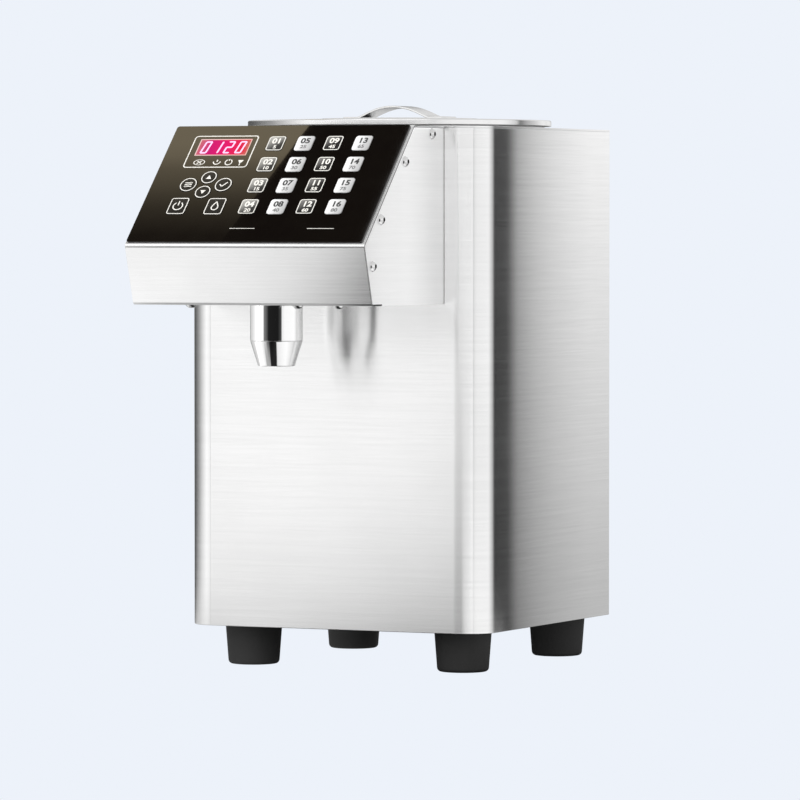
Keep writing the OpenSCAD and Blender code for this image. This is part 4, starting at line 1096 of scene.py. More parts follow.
@dataclass
class Casing:
    """Folded casing with its deck and feet.

    Attributes:
        corner: Radius of the upright front corners.
        sheet: Thickness of the sheet.
        flange: Width of the rear return flanges.
        hem: Rounding of the deck's edge.
        hole: Radius of the deck's hole round the tank.
        foot_low: Radius of a foot on the standing surface.
        foot_high: Radius of a foot at the base.
        foot_edge: Rounding of a foot's lower edge.
        foot_neck: Radius of the neck that goes through the base.
        foot_lip: Radius and height of the lip that holds the foot.
        low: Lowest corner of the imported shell.
        high: Its highest corner.
        tank_y: Place of the tank's middle.
        top: Height of the deck.
    """

    corner: float = 25.0
    sheet: float = 1.5
    flange: float = 12.0
    hem: float = 1.3
    hole: float = 110.5
    foot_low: float = 20.5
    foot_high: float = 23.0
    foot_edge: float = 3.0
    foot_neck: float = 7.0
    foot_lip: Pair = (9.5, 3.0)
    low: Vector = field(init=False)
    high: Vector = field(init=False)
    tank_y: float = field(init=False)
    top: float = field(init=False)

    def __post_init__(self) -> None:
        """Reads the casing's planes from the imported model."""
        self.low, self.high = corners_of("body_shell")
        tank_low, tank_high = corners_of("tank")
        self.tank_y = (tank_low.y + tank_high.y) / 2
        self.top = corners_of("top_deck")[1].z

    def build(self) -> None:
        """Builds the casing's pieces."""
        self.shell()
        self.deck()
        self.feet()

    def round_front(self, form: Form) -> None:
        """Rounds the upright front corners of a box.

        Args:
            form: The box.
        """
        front = [e for e in form.mesh.edges if all(v.co.y < self.low.y + 1 for v in e.verts)
                 and abs(e.verts[0].co.z - e.verts[1].co.z) > 0.5]
        bmesh.ops.bevel(form.mesh, geom=front, offset=self.corner, segments=28, profile=0.5, affect="EDGES",
                        material=-1)
        form.mesh.normal_update()

    def shell(self) -> None:
        """Builds the wall that is folded round the front and both sides, with its rear flanges."""
        form = Form()
        form.block(self.low, self.high)
        self.round_front(form)
        open_sides = [f for f in form.mesh.faces if abs(f.normal.z) > 0.9 or f.normal.y > 0.9]
        bmesh.ops.delete(form.mesh, geom=open_sides, context="FACES")
        form.thicken(self.sheet)
        form.round_edges(steep, 0.45, 3)
        inner = self.high.x - self.sheet
        for left in (-inner, inner - self.flange):
            form.block((left, self.high.y - 2 * self.sheet, self.low.z + self.sheet),
                       (left + self.flange, self.high.y - self.sheet, self.high.z))
        form.piece("body_shell_folded", CASING, "casing_steel", stands_for=["body_shell"])

    def deck(self) -> None:
        """Builds the top plate with its rounded edge and the hole for the tank."""
        form = Form()
        form.block((self.low.x, self.low.y, 0), (self.high.x, self.high.y, 1))
        self.round_front(form)
        upper = [f for f in form.mesh.faces if f.normal.z > -0.9]
        bmesh.ops.delete(form.mesh, geom=upper, context="FACES")
        form.outline_only(form.mesh.faces[:][0])
        form.outline_only(form.disc(self.hole, (0.0, self.tank_y), 96))
        form.raise_faces(form.fill(), (0.0, 0.0, self.sheet))
        form.move(Matrix.Translation((0, 0, self.top - self.sheet)))
        form.tidy()
        middle = Vector((0.0, self.tank_y))

        def outer(edge: BMEdge) -> bool:
            """Tells whether an edge runs along the deck's outer rim."""
            upper = all(v.co.z > self.top - NEAR for v in edge.verts)
            return steep(edge) and upper and (edge.verts[0].co.xy - middle).length > self.hole + 1

        form.round_edges(outer, self.hem, 5)
        form.piece("top_deck_plate", DECK, "casing_steel", stands_for=["top_deck"])

    def feet(self) -> None:
        """Builds the four tapered rubber feet."""
        foot = Form()
        height = self.low.z
        through = height + self.sheet
        lip, lip_rise = self.foot_lip
        foot.lathe([(0, 0), (self.foot_low, 0), (self.foot_high, height), (self.foot_neck, height),
                    (self.foot_neck, through), (lip, through), (lip - 1, through + lip_rise),
                    (0, through + lip_rise)], 64)
        foot.round_edges(corner_where(lambda spot: spot.z < 0.1), self.foot_edge, 5)
        outer = corner_where(lambda spot: abs(spot.z - height) < 0.1 and spot.xy.length > lip)
        foot.round_edges(outer, 0.6, 3)
        foot.tidy()
        low, high = corners_of("rubber_feet")
        wide = self.foot_high
        feet = foot.copy_to(Matrix.Translation((x, y, 0)) for x in (low.x + wide, high.x - wide)
                            for y in (low.y + wide, high.y - wide))
        feet.piece("rubber_feet_moulded", RUBBER, "foot_rubber", stands_for=["rubber_feet"])


@dataclass
class Head:
    """Keypad head: folded cover and two cheeks.

    Attributes:
        top: Depth of the flat strip on top.
        nose_drop: Drop from the top to the nose.
        setback: How far the lip's lower edge is set back.
        lip_return: Depth of the lip's lower return.
        sheet: Thickness of the sheet.
        inset: How far the cheeks lie inside the cover's edges.
        fold: Rounding of the folds.
        joint: Width of the dark joint between the cheeks and the casing.
        cheek_edge: Rounding of the cheeks' outer edges.
        aperture_u: Opening behind the keys, across the slope.
        aperture_v: Opening behind the keys, down the slope.
        low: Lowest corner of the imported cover.
        high: Its highest corner.
        front: Y of the casing's front.
        reach: How far the head stands out of it.
        run: Part of that reach under the slope.
        width: Width of the head.
        slope_length: Length of the slope.
        slope_angle: Its angle, in radians.
    """

    top: float = 54.8
    nose_drop: float = 93.6
    setback: float = 14.0
    lip_return: float = 18.0
    sheet: float = 1.5
    inset: float = 0.5
    fold: float = 2.2
    # joint: Width of the joint between the cheeks and the casing, which a dark strip of painted shade fills.
    joint: float = 1.6
    cheek_edge: float = 1.2
    aperture_u: Pair = (21.1, 180.8)
    aperture_v: Pair = (9.2, 100.9)
    low: Vector = field(init=False)
    high: Vector = field(init=False)
    front: float = field(init=False)
    reach: float = field(init=False)
    run: float = field(init=False)
    width: float = field(init=False)
    slope_length: float = field(init=False)
    slope_angle: float = field(init=False)

    def __post_init__(self) -> None:
        """Reads the head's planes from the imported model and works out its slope."""
        self.low, self.high = corners_of("head_cover")
        self.front = corners_of("body_shell")[0].y
        self.reach = self.front - self.low.y
        self.run = self.reach - self.top
        self.slope_length = math.hypot(self.run, self.nose_drop)
        self.slope_angle = math.atan2(self.nose_drop, self.run)
        self.width = self.high.x - self.low.x

    def on_slope(self, u: float, v: float, out: float = 0.0) -> Matrix:
        """Finds a place on the slope.

        Args:
            u: Distance across, from the head's left side.
            v: Distance down, from the slope's upper edge.
            out: Height above the slope.

        Returns:
            The place, with X across, Y up the slope and Z out of it.
        """
        corner = Matrix.Translation((self.low.x, self.front - self.top, self.high.z))
        return corner @ Matrix.Rotation(self.slope_angle, 4, "X") @ Matrix.Translation((u, -v, out))

    def side_view(self) -> list[Pair]:
        """Draws the cover's line in the side view.

        Returns:
            Its corners as Y and Z, from the casing round to the return.
        """
        nose = self.front - self.reach
        return [(self.front, self.high.z), (self.front - self.top, self.high.z),
                (nose, self.high.z - self.nose_drop), (nose + self.setback, self.low.z),
                (nose + self.setback + self.lip_return, self.low.z)]

    def build(self) -> None:
        """Builds the head's pieces."""
        self.cover()
        self.cheek("head_cheek_left", self.low.x + self.inset)
        self.cheek("head_cheek_right", self.high.x - self.inset - self.sheet)
        self.joint_shade_strips()

    def cover(self) -> None:
        """Builds the folded cover with the opening behind the keypad."""
        form = Form()
        form.draw([(self.low.x, y, z) for y, z in self.side_view()], (self.width, 0, 0))
        form.tidy()
        form.round_edges(lambda e: steep(e, math.radians(10)), self.fold, 6)
        slope = self.on_slope(0, 0)
        across, along = slope.to_3x3().col[0], slope.to_3x3().col[1]
        left, right = self.aperture_u
        upper, lower = self.aperture_v
        for axis, places in ((across, (left, right)), (along, (-upper, -lower))):
            for place in places:
                everything = form.mesh.faces[:] + form.mesh.edges[:] + form.mesh.verts[:]
                bmesh.ops.bisect_plane(form.mesh, geom=everything, plane_co=slope.translation + axis * place,
                                       plane_no=axis, dist=MERGE)
        inverse = slope.inverted()
        for face in form.mesh.faces[:]:
            spot = inverse @ face.calc_center_median()
            if left < spot.x < right and upper < -spot.y < lower and abs(spot.z) < 0.1:
                form.mesh.faces.remove(face)
        form.thicken(self.sheet)
        form.round_edges(lambda e: steep(e, math.radians(60)), 0.35, 2)
        form.piece("head_cover_folded", HEAD, "casing_steel", stands_for=["head_cover"])

    def cheek(self, node: str, left: float) -> None:
        """Builds one side cheek.

        Args:
            node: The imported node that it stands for.
            left: X of its left face.
        """
        form = Form()
        cover = self.side_view()
        step = self.sheet
        rear = self.front - self.joint
        line = [(rear, cover[0][1] - step), (cover[1][0] + step * 0.43, cover[1][1] - step),
                (cover[2][0] + step * 1.15, cover[2][1] - step * 0.3), (cover[3][0] + step, cover[3][1]),
                (rear, self.low.z)]
        outer = left if left < (self.low.x + self.high.x) / 2 else left + self.sheet
        face = form.mesh.faces.new([form.mesh.verts.new((left, y, z)) for y, z in line])
        form.raise_faces([face], (self.sheet, 0.0, 0.0))
        form.tidy()

        def shown(edge: BMEdge) -> bool:
            """Tells whether an edge borders the outer face beside the cover.

            Args:
                edge: The edge.

            Returns:
                True if it does.
            """
            spots = [v.co for v in edge.verts]
            at_rear = all(s.y > rear - 0.1 for s in spots)
            below = all(s.z < self.low.z + 0.1 for s in spots)
            return steep(edge) and not at_rear and not below and all(abs(s.x - outer) < NEAR for s in spots)

        form.round_edges(shown, self.cheek_edge, 4)
        form.piece(node + "_plate", CHEEK, "casing_steel", stands_for=[node])

    def joint_shade_strips(self) -> None:
        """Builds the dark strips in the joints between the cheeks and the casing: painted shade where the
        gaps fall in shadow.
        """
        form = Form()
        sunk = self.inset + 0.5
        for left in (self.low.x + sunk, self.high.x - sunk - self.sheet):
            form.block((left, self.front - self.joint, self.low.z + 0.5),
                       (left + self.sheet, self.front - 0.02, self.high.z - self.sheet))
        form.piece("head_joint_seals", GASKET_AND_JOINT_SHADE, "foot_rubber")


class KeyLook(Enum):
    """Faces that the dose keys come in; their fades and the grey corner are painted highlight and shade."""

    FADED = "grey fading to black"
    SILVER = "silver"
    BLACK = "black with a grey corner"


@dataclass
class Keypad:
    """Black overlay with its display, 16 dose keys and 6 function keys.

    Attributes:
        head: The head that carries it.
        left: Bare margin at the left.
        right: Bare margin at the right.
        upper: Bare margin at the slope's upper edge.
        lower: Bare margin at the nose.
        radius: Corner radius of the overlay.
        thick: Thickness of the overlay.
        proud: How far the keys stand out of it.
        gap: Gap round a key.
        dose: Width and height of a dose key.
        mode: Width and height of a mode key.
        key_radius: Corner radius of the square keys.
        dose_start: Place of the first dose key.
        dose_step: Distance between dose columns and rows.
        window: Width and height of the display window.
        window_at: Place of the window's middle.
        line: Width of the printed lines.
        rim: Height and width of a key's hidden rim.
        key_low: Height of a key's underside above the slope.
        reading: Figures that the display shows.
        figure: Distance between figures, and a figure's height, width and stroke.
        figure_lean: Lean of the figures, in degrees.
        framed: Width, height and radius of the frame round the display.
        framed_at: Place of the frame's middle.
        signs_at: Places across of the signs below the display.
        signs_v: Their place down.
        rules: Where the two rules start and end.
        rules_v: Their place down.
        sign_line: Width of the lines that signs are drawn with.
        round_keys: Place and diameter of each round key.
        mode_keys: Place of each mode key.
    """

    head: Head
    left: float = 0.5
    right: float = 2.4
    upper: float = 0.6
    lower: float = 3.0
    radius: float = 2.0
    thick: float = 1.0
    proud: float = 0.4
    gap: float = 0.3
    dose: Pair = (14.6, 15.6)
    mode: Pair = (16.0, 17.6)
    key_radius: float = 2.4
    dose_start: Pair = (94.7, 20.5)
    dose_step: Pair = (25.1, 22.8)
    window: Pair = (45.8, 18.2)
    window_at: Pair = (49.6, 24.0)
    line: float = 0.75
    rim: Pair = (1.0, 1.0)
    key_low: float = -1.3
    reading: str = "0120"
    figure: tuple[float, float, float, float] = (10.2, 13.4, 6.2, 1.5)
    figure_lean: float = 9.0
    framed: Triple = (56.5, 34.9, 3.0)
    framed_at: Pair = (49.2, 28.9)
    signs_at: tuple[float, float, float, float] = (34.0, 49.5, 60.0, 70.3)
    signs_v: float = 40.5
    rules: tuple[Pair, Pair] = ((86.3, 108.2), (153.5, 176.6))
    rules_v: float = 112.0
    sign_line: float = 0.95
    round_keys: dict[str, Triple] = field(default_factory=lambda: {
        "set_key": (33.4, 65.1, 14.8), "save_key": (64.3, 65.2, 14.8),
        "up_key": (48.9, 57.25, 13.6), "down_key": (48.9, 72.95, 13.6)})
    mode_keys: dict[str, Pair] = field(default_factory=lambda: {
        "power_key": (32.6, 88.3), "rinse_key": (65.4, 88.6)})

    def dose_at(self, number: int) -> Pair:
        """Returns a dose key's place on the slope, counted down the columns from 1."""
        column, row = divmod(number - 1, 4)
        return (self.dose_start[0] + column * self.dose_step[0], self.dose_start[1] + row * self.dose_step[1])

    def build(self) -> None:
        """Builds the keypad's pieces."""
        self.overlay()
        self.overlay_print()
        self.display()
        for number in range(1, 17):
            self.dose_key(number)
        for name, (u, v, size) in self.round_keys.items():
            self.round_key(name, u, v, size)
        for name, at in self.mode_keys.items():
            self.mode_key(name, at)

    def square_hole(self, form: Form, size: Pair, at: Pair) -> None:
        """Leaves a hole for a square key in the overlay's plan."""
        width, height = (s + 2 * self.gap for s in size)
        form.outline_only(form.panel(width, height, self.key_radius + self.gap, (at[0], -at[1])))

    def overlay(self) -> None:
        """Builds the glossy black plate with a hole for each key and for the display."""
        form = Form()
        width = self.head.width - self.left - self.right
        height = self.head.slope_length - self.upper - self.lower
        middle = Vector((self.left + width / 2, -self.upper - height / 2))
        form.outline_only(form.panel(width, height, self.radius, middle, 10))
        for number in range(1, 17):
            self.square_hole(form, self.dose, self.dose_at(number))
        for at in self.mode_keys.values():
            self.square_hole(form, self.mode, at)
        for u, v, size in self.round_keys.values():
            form.outline_only(form.disc(size / 2 + self.gap, (u, -v)))
        u, v = self.window_at
        form.outline_only(form.panel(*self.window, 0.0, (u, -v)))
        form.raise_faces(form.fill(), (0.0, 0.0, self.thick))
        form.tidy()
        half = Vector((width / 2, height / 2))

        def outer(edge: BMEdge) -> bool:
            """Tells whether an edge runs along the overlay's upper rim.

            Args:
                edge: The edge.

            Returns:
                True if it does.
            """
            spots = [v.co.xy - middle for v in edge.verts]
            inner = half - Vector((self.radius, self.radius))
            return steep(edge) and all(v.co.z > self.thick - NEAR for v in edge.verts) and all(
                abs(s.x) > inner.x - NEAR and abs(s.y) > inner.y - NEAR
                or abs(s.x) > half.x - NEAR or abs(s.y) > half.y - NEAR for s in spots)

        form.round_edges(outer, 0.35, 3)
        form.move(self.head.on_slope(0, 0))
        form.piece("keypad_overlay_gloss", OVERLAY, "overlay_black", stands_for=["keypad_overlay"])

    def overlay_print(self) -> None:
        """Prints the frame round the display, the row of signs below it and the two rules."""
        ink = Print()
        ink.frame(*self.framed, self.sign_line, (self.framed_at[0], -self.framed_at[1]))
        row = -self.signs_v
        crossed, filling, turning, funnel = self.signs_at
        ink.arc(4.7, 0.8, 0, 360, (crossed, row), 0.6)
        for turn in (35, 145):
            ink.bar(4.6, 0.9, (crossed, row), turn)
        ink.arc(3.0, 0.9, 180, 360, (filling, row + 0.8))
        ink.bar(0.9, 2.4, (filling, row + 1.6))
        ink.arc(2.9, 0.9, 120, 420, (turning, row))
        ink.triangle(1.3, (turning, row + 2.6), 180)
        ink.triangle(2.9, (funnel, row + 0.8), 180)
        ink.bar(0.9, 3.4, (funnel, row - 1.8))
        for start, end in self.rules:
            ink.bar(end - start, 0.5, ((start + end) / 2, -self.rules_v))
        ink.set_down(self.head.on_slope(0, 0, self.thick))
        ink.piece("overlay_print", PRINT, "overlay_black")

    def display(self) -> None:
        """Builds the lit window, its rim with a painted highlight along the window's edge, and its four
        slanted figures.
        """
        u, v = self.window_at
        width, height = self.window
        glass = Form()
        glass.raise_faces([glass.panel(width - 0.1, height - 0.1)], (0, 0, self.thick - 0.15))
        glass.map_flat(width, height)
        glass.move(self.head.on_slope(u, v))
        glass.piece("display_window_lit", WINDOW, "window_red", stands_for=["display_window"])
        rim = Print()
        rim.frame(width - 0.1, height - 0.1, 0.6, 0.9)
        rim.map_flat(width, height)
        rim.set_down(self.head.on_slope(u, v, self.thick - 0.15))
        rim.piece("display_rim", RIM_HIGHLIGHT, "window_red")
        figures = Print()
        lit = {"0": "abcdef", "1": "bc", "2": "abged"}
        for index, sign in enumerate(self.reading):
            middle = (index - (len(self.reading) - 1) / 2) * self.figure[0]
            self.draw_figure(figures, lit[sign], middle)
        lean = Matrix.Identity(4)
        lean[0][1] = math.tan(math.radians(self.figure_lean))
        figures.move(lean)
        figures.map_flat(width, height)
        figures.set_down(self.head.on_slope(u, v, self.thick - 0.15))
        figures.piece("display_figures", DIGIT, "window_red")

    def draw_figure(self, ink: Print, lit: str, middle: float) -> None:
        """Draws one seven-bar figure.

        Args:
            ink: Where it is drawn.
            lit: Letters of the bars that are lit.
            middle: Its place across.
        """
        _, tall, wide, stroke = self.figure
        quarter = (tall - stroke) / 4
        half = (wide - stroke) / 2
        bars = {"a": (0, 2 * quarter, 0), "g": (0, 0, 0), "d": (0, -2 * quarter, 0), "b": (half, quarter, 90),
                "c": (half, -quarter, 90), "f": (-half, quarter, 90), "e": (-half, -quarter, 90)}
        for name in lit:
            x, y, turn = bars[name]
            length = 2 * quarter if turn else 2 * half
            ink.bar(length - 0.25 + stroke * 0.8, stroke, (middle + x, y), turn, stroke * 0.48)

    def cap(self, name: str, at: Pair, size: Pair, finish: Finish, slot: str = "key_dark",
            is_round: bool = False) -> None:
        """Builds a key's cap with its hidden rim.

        Args:
            name: Name of its node and body.
            at: Its place on the slope.
            size: Its width and height.
            finish: Its finish.
            slot: The record's material slot.
            is_round: Whether it is a disc.
        """
        form = Form()
        width, height = size
        rim_rise, rim_wide = self.rim
        if is_round:
            face = form.disc(width / 2)
            rim = form.disc(width / 2 + rim_wide / 2)
        else:
            face = form.panel(width, height, self.key_radius)
            rim = form.panel(width + 2 * rim_wide, height + 2 * rim_wide, self.key_radius)
        top = self.thick + self.proud - self.key_low
        form.raise_faces([face], (0.0, 0.0, top))
        form.mesh.normal_update()
        form.round_edges(corner_where(lambda spot: spot.z > top - NEAR), 0.3, 3)
        form.raise_faces([rim], (0.0, 0.0, rim_rise))
        form.map_flat(width, height)
        form.move(self.head.on_slope(*at, self.key_low))
        form.piece(name + "_cap", finish, slot, body=name, stands_for=[name])

    def print_on(self, name: str, at: Pair, ink: Print, finishes: Finish | Sequence[Finish] = PRINT,
                 slot: str = "key_dark") -> None:
        """Lays a key's print on its cap.

        Args:
            name: Name of the key's node and body.
            at: Its place on the slope.
            ink: The print.
            finishes: Its inks.
            slot: The record's material slot.
        """
        ink.set_down(self.head.on_slope(*at, self.thick + self.proud))
        ink.piece(name + "_print", finishes, slot, body=name)

    def dose_key(self, number: int) -> None:
        """Builds one dose key and its print.

        Args:
            number: Its number, counted down the columns from 1.
        """
        name = f"dose_key_{number}"
        look = (KeyLook.FADED, KeyLook.SILVER, KeyLook.BLACK, KeyLook.SILVER)[(number - 1) // 4]
        at = self.dose_at(number)
        silver = look is KeyLook.SILVER
        # Each key finish paints highlight and shade as a fade across the face.
        finish = {KeyLook.FADED: LIGHT_KEY, KeyLook.SILVER: SILVER_KEY, KeyLook.BLACK: DARK_KEY}[look]
        slot = "key_silver" if silver else "key_dark"
        self.cap(name, at, self.dose, finish, slot)
        ink = Print()
        if not silver:
            self.key_frame(ink, self.dose)
        ink.words(f"{number:02d}", 7.6, (0.3, 2.3), 0.26, 1.08)
        ink.ink = 1
        ink.words(f"{number * 5}", 4.8, (0.3, -4.0), 0.16, 1.15)
        self.print_on(name, at, ink, (DARK_PRINT, GREY_PRINT) if silver else (PRINT, PRINT), slot)

    def key_frame(self, ink: Print, size: Pair) -> None:
        """Draws the line just inside a square key's edge."""
        width, height = (s - 0.5 for s in size)
        ink.frame(width, height, self.key_radius - 0.25, self.line)

    def round_key(self, name: str, u: float, v: float, size: float) -> None:
        """Builds one round key and its sign.

        Args:
            name: Name of its node and body.
            u: Its place across the slope.
            v: Its place down the slope.
            size: Its diameter.
        """
        self.cap(name, (u, v), (size, size), PLAIN_KEY, is_round=True)
        ink = Print()
        ink.arc(size / 2 - 0.75, self.line, 0, 360)
        if name == "up_key":
            ink.triangle(2.7, (0, -0.4), 0)
        elif name == "down_key":
            ink.triangle(2.7, (0, 0.4), 180)
        elif name == "set_key":
            for row in (-1.9, 0.0, 1.9):
                ink.bar(6.4, 0.8, (0, row))
                ink.bar(1.6, 1.5, (row * 0.9, row))
        else:
            ink.bar(3.4, 1.0, (-1.9, -0.9), -45)
            ink.bar(6.2, 1.0, (1.1, 0.2), 48)
        self.print_on(name, (u, v), ink)

    def mode_key(self, name: str, at: Pair) -> None:
        """Builds one square mode key and its sign.

        Args:
            name: Name of its node and body.
            at: Its place on the slope.
        """
        self.cap(name, at, self.mode, PLAIN_KEY)
        ink = Print()
        self.key_frame(ink, self.mode)
        if name == "power_key":
            ink.arc(4.0, self.sign_line, 125, 415)
            ink.bar(self.sign_line, 4.6, (0, 2.9))
        else:
            ink.arc(2.7, self.sign_line, 150, 390, (0, -1.2))
            for side in (-1, 1):
                ink.bar(5.6, self.sign_line, (side * 1.25, 2.6), side * -62)
        self.print_on(name, at, ink)


@dataclass
class Nozzle:
    """Chromed sleeve and tapered tip under the head's floor.

    Attributes:
        tip: Radius of the tip's lower end.
        outlet: Radius of the outlet.
        chamber: Radius of the valve chamber.
        stub: Radius of the threaded stub.
        bore: Radius of the bore above the chamber.
        barb: Radius of the hose barb.
        barb_length: Its length.
        stem: Radius of the hole that guides the valve's stem.
        guide: Where that hole starts and ends, below the seam.
    """

    tip: float = 14.5
    outlet: float = 5.2
    chamber: float = 9.0
    stub: float = 11.0
    bore: float = 2.5
    barb: float = 3.45
    barb_length: float = 9.0
    stem: float = 2.05
    guide: Pair = (4.0, 10.0)

    def build(self) -> None:
        """Builds the sleeve and the tip."""
        low, high = corners_of("nozzle_body")
        floor = corners_of("head_floor")
        seam, under, chamber_top = low.z, floor[0].z, floor[1].z
        outer = (high.x - low.x) / 2
        middle = Matrix.Translation(((low.x + high.x) / 2, (low.y + high.y) / 2, 0))
        stub_top = high.z - self.barb_length
        sleeve = Form()
        sleeve.lathe([(self.chamber, seam), (outer, seam), (outer, under), (self.stub, under),
                      (self.stub, stub_top), (self.barb, stub_top), (self.barb, high.z), (self.bore, high.z),
                      (self.bore, chamber_top), (self.chamber, chamber_top)], 96, closed=True)
        sleeve.round_edges(corner_where(lambda spot: spot.xy.length > outer - 0.1), 0.45, 3)
        sleeve.move(middle)
        sleeve.piece("nozzle_sleeve", CHROME, "nozzle_chrome", stands_for=["nozzle_body"])
        bottom = corners_of("nozzle_tip")[0].z
        tip = Form()
        guide_high, guide_low = (seam - depth for depth in self.guide)
        tip.lathe([(self.outlet, bottom), (self.tip, bottom), (outer, seam), (self.chamber, seam),
                   (self.chamber, guide_high), (self.stem, guide_high), (self.stem, guide_low),
                   (self.outlet, guide_low)], 96, closed=True)
        tip.round_edges(corner_where(lambda spot: spot.xy.length > self.tip - 0.1, 0.5), 0.6, 3)
        tip.move(middle)
        tip.piece("nozzle_taper", CHROME, "nozzle_chrome", stands_for=["nozzle_tip"])


@dataclass
class Lid:
    """Spun lid with a rolled rim, a raised middle and a strap handle.

    Attributes:
        sheet: Thickness of the lid's sheet.
        rim: Depth of the rolled rim.
        crown: Radius of the raised middle.
        crown_rise: Height of the raised middle.
        plug: Outer radius of the locating ring.
        thick: Thickness of the handle's strap.
        end: Length of the handle's welded ends.
        bow: Two powers that shape the strap's curve.
        bow_steps: Steps of each half of that curve.
    """

    sheet: float = 1.2
    rim: float = 4.5
    crown: float = 64.0
    crown_rise: float = 1.8
    plug: float = 107.3
    thick: float = 1.6
    end: float = 14.0
    bow: Pair = (2.1, 1.25)
    bow_steps: int = 20

    def build(self) -> None:
        """Builds the lid and its handle."""
        low, high = corners_of("lid")
        middle = Vector(((low.x + high.x) / 2, (low.y + high.y) / 2, 0))
        radius = (high.x - low.x) / 2
        top = high.z - self.crown_rise
        rim_low = top - self.rim
        under = top - self.sheet
        crown_low = self.crown + self.crown_rise
        half = self.sheet / 2
        plug_in = self.plug - self.sheet
        form = Form()
        form.lathe([(0, high.z), (self.crown, high.z), (crown_low, top), (radius, top), (radius, rim_low),
                    (radius - self.sheet, rim_low), (radius - self.sheet, under), (self.plug, under),
                    (self.plug, low.z), (plug_in, low.z), (plug_in, under), (crown_low - half, under),
                    (self.crown - half, high.z - self.sheet), (0, high.z - self.sheet)], 160)
        rim = corner_where(lambda spot: spot.z > top - NEAR and spot.xy.length > radius - 0.1)
        form.round_edges(rim, 1.1, 5)
        form.round_edges(corner_where(lambda spot: spot.z > high.z - NEAR or (
            abs(spot.z - top) < NEAR and spot.xy.length < self.crown + 5), 0.5), 0.8, 3)
        form.round_edges(corner_where(lambda spot: abs(spot.z - rim_low) < NEAR), 0.3, 2)
        form.move(Matrix.Translation(middle))
        spun = Finish("spun_lid_steel", grey(0.90), grey(0.80), metallic=1.0, roughness=0.2, spread=0.05,
                      grain=Grain.RINGS, centre=(middle.x, middle.y, 0.0), relief=0.003, anisotropy=0.6,
                      handling=0.02)
        form.piece("lid_spun", spun, "lid_steel", body="lid", stands_for=["lid"])
        self.handle(middle, high.z)

    def handle(self, middle: Vector, base: float) -> None:
        """Builds the bent strap with its two welded ends.

        Args:
            middle: Place of the lid's middle.
            base: Height of the raised middle.
        """
        low, high = corners_of("lid_handle")
        thick, width, rise = self.thick, high.y - low.y, high.z - base
        full = (high.x - low.x) / 2
        foot = base + thick
        steps = self.bow_steps
        flat, sharp = self.bow
        line = [(-full + thick, 0.0, foot)]
        for step in range(-steps, steps + 1):
            share = step / steps
            lift = (1 - abs(share) ** flat) ** sharp
            line.append(((full - self.end) * share, 0.0, foot + (rise - thick) * lift))
        line.append((full - thick, 0.0, foot))
        form = Form()
        form.draw(line, (0, width, 0))
        form.tidy()
        if sum(f.normal.z for f in form.mesh.faces) < 0:
            bmesh.ops.reverse_faces(form.mesh, faces=form.mesh.faces[:])
        bmesh.ops.solidify(form.mesh, geom=form.mesh.faces[:], thickness=thick)
        form.round_edges(lambda e: steep(e, math.radians(60)), 0.5, 3)
        form.move(Matrix.Translation(middle + Vector((0, -width / 2, 0))))
        form.piece("lid_handle_strap", STRAP, "handle_steel", body="lid", stands_for=["lid_handle"])


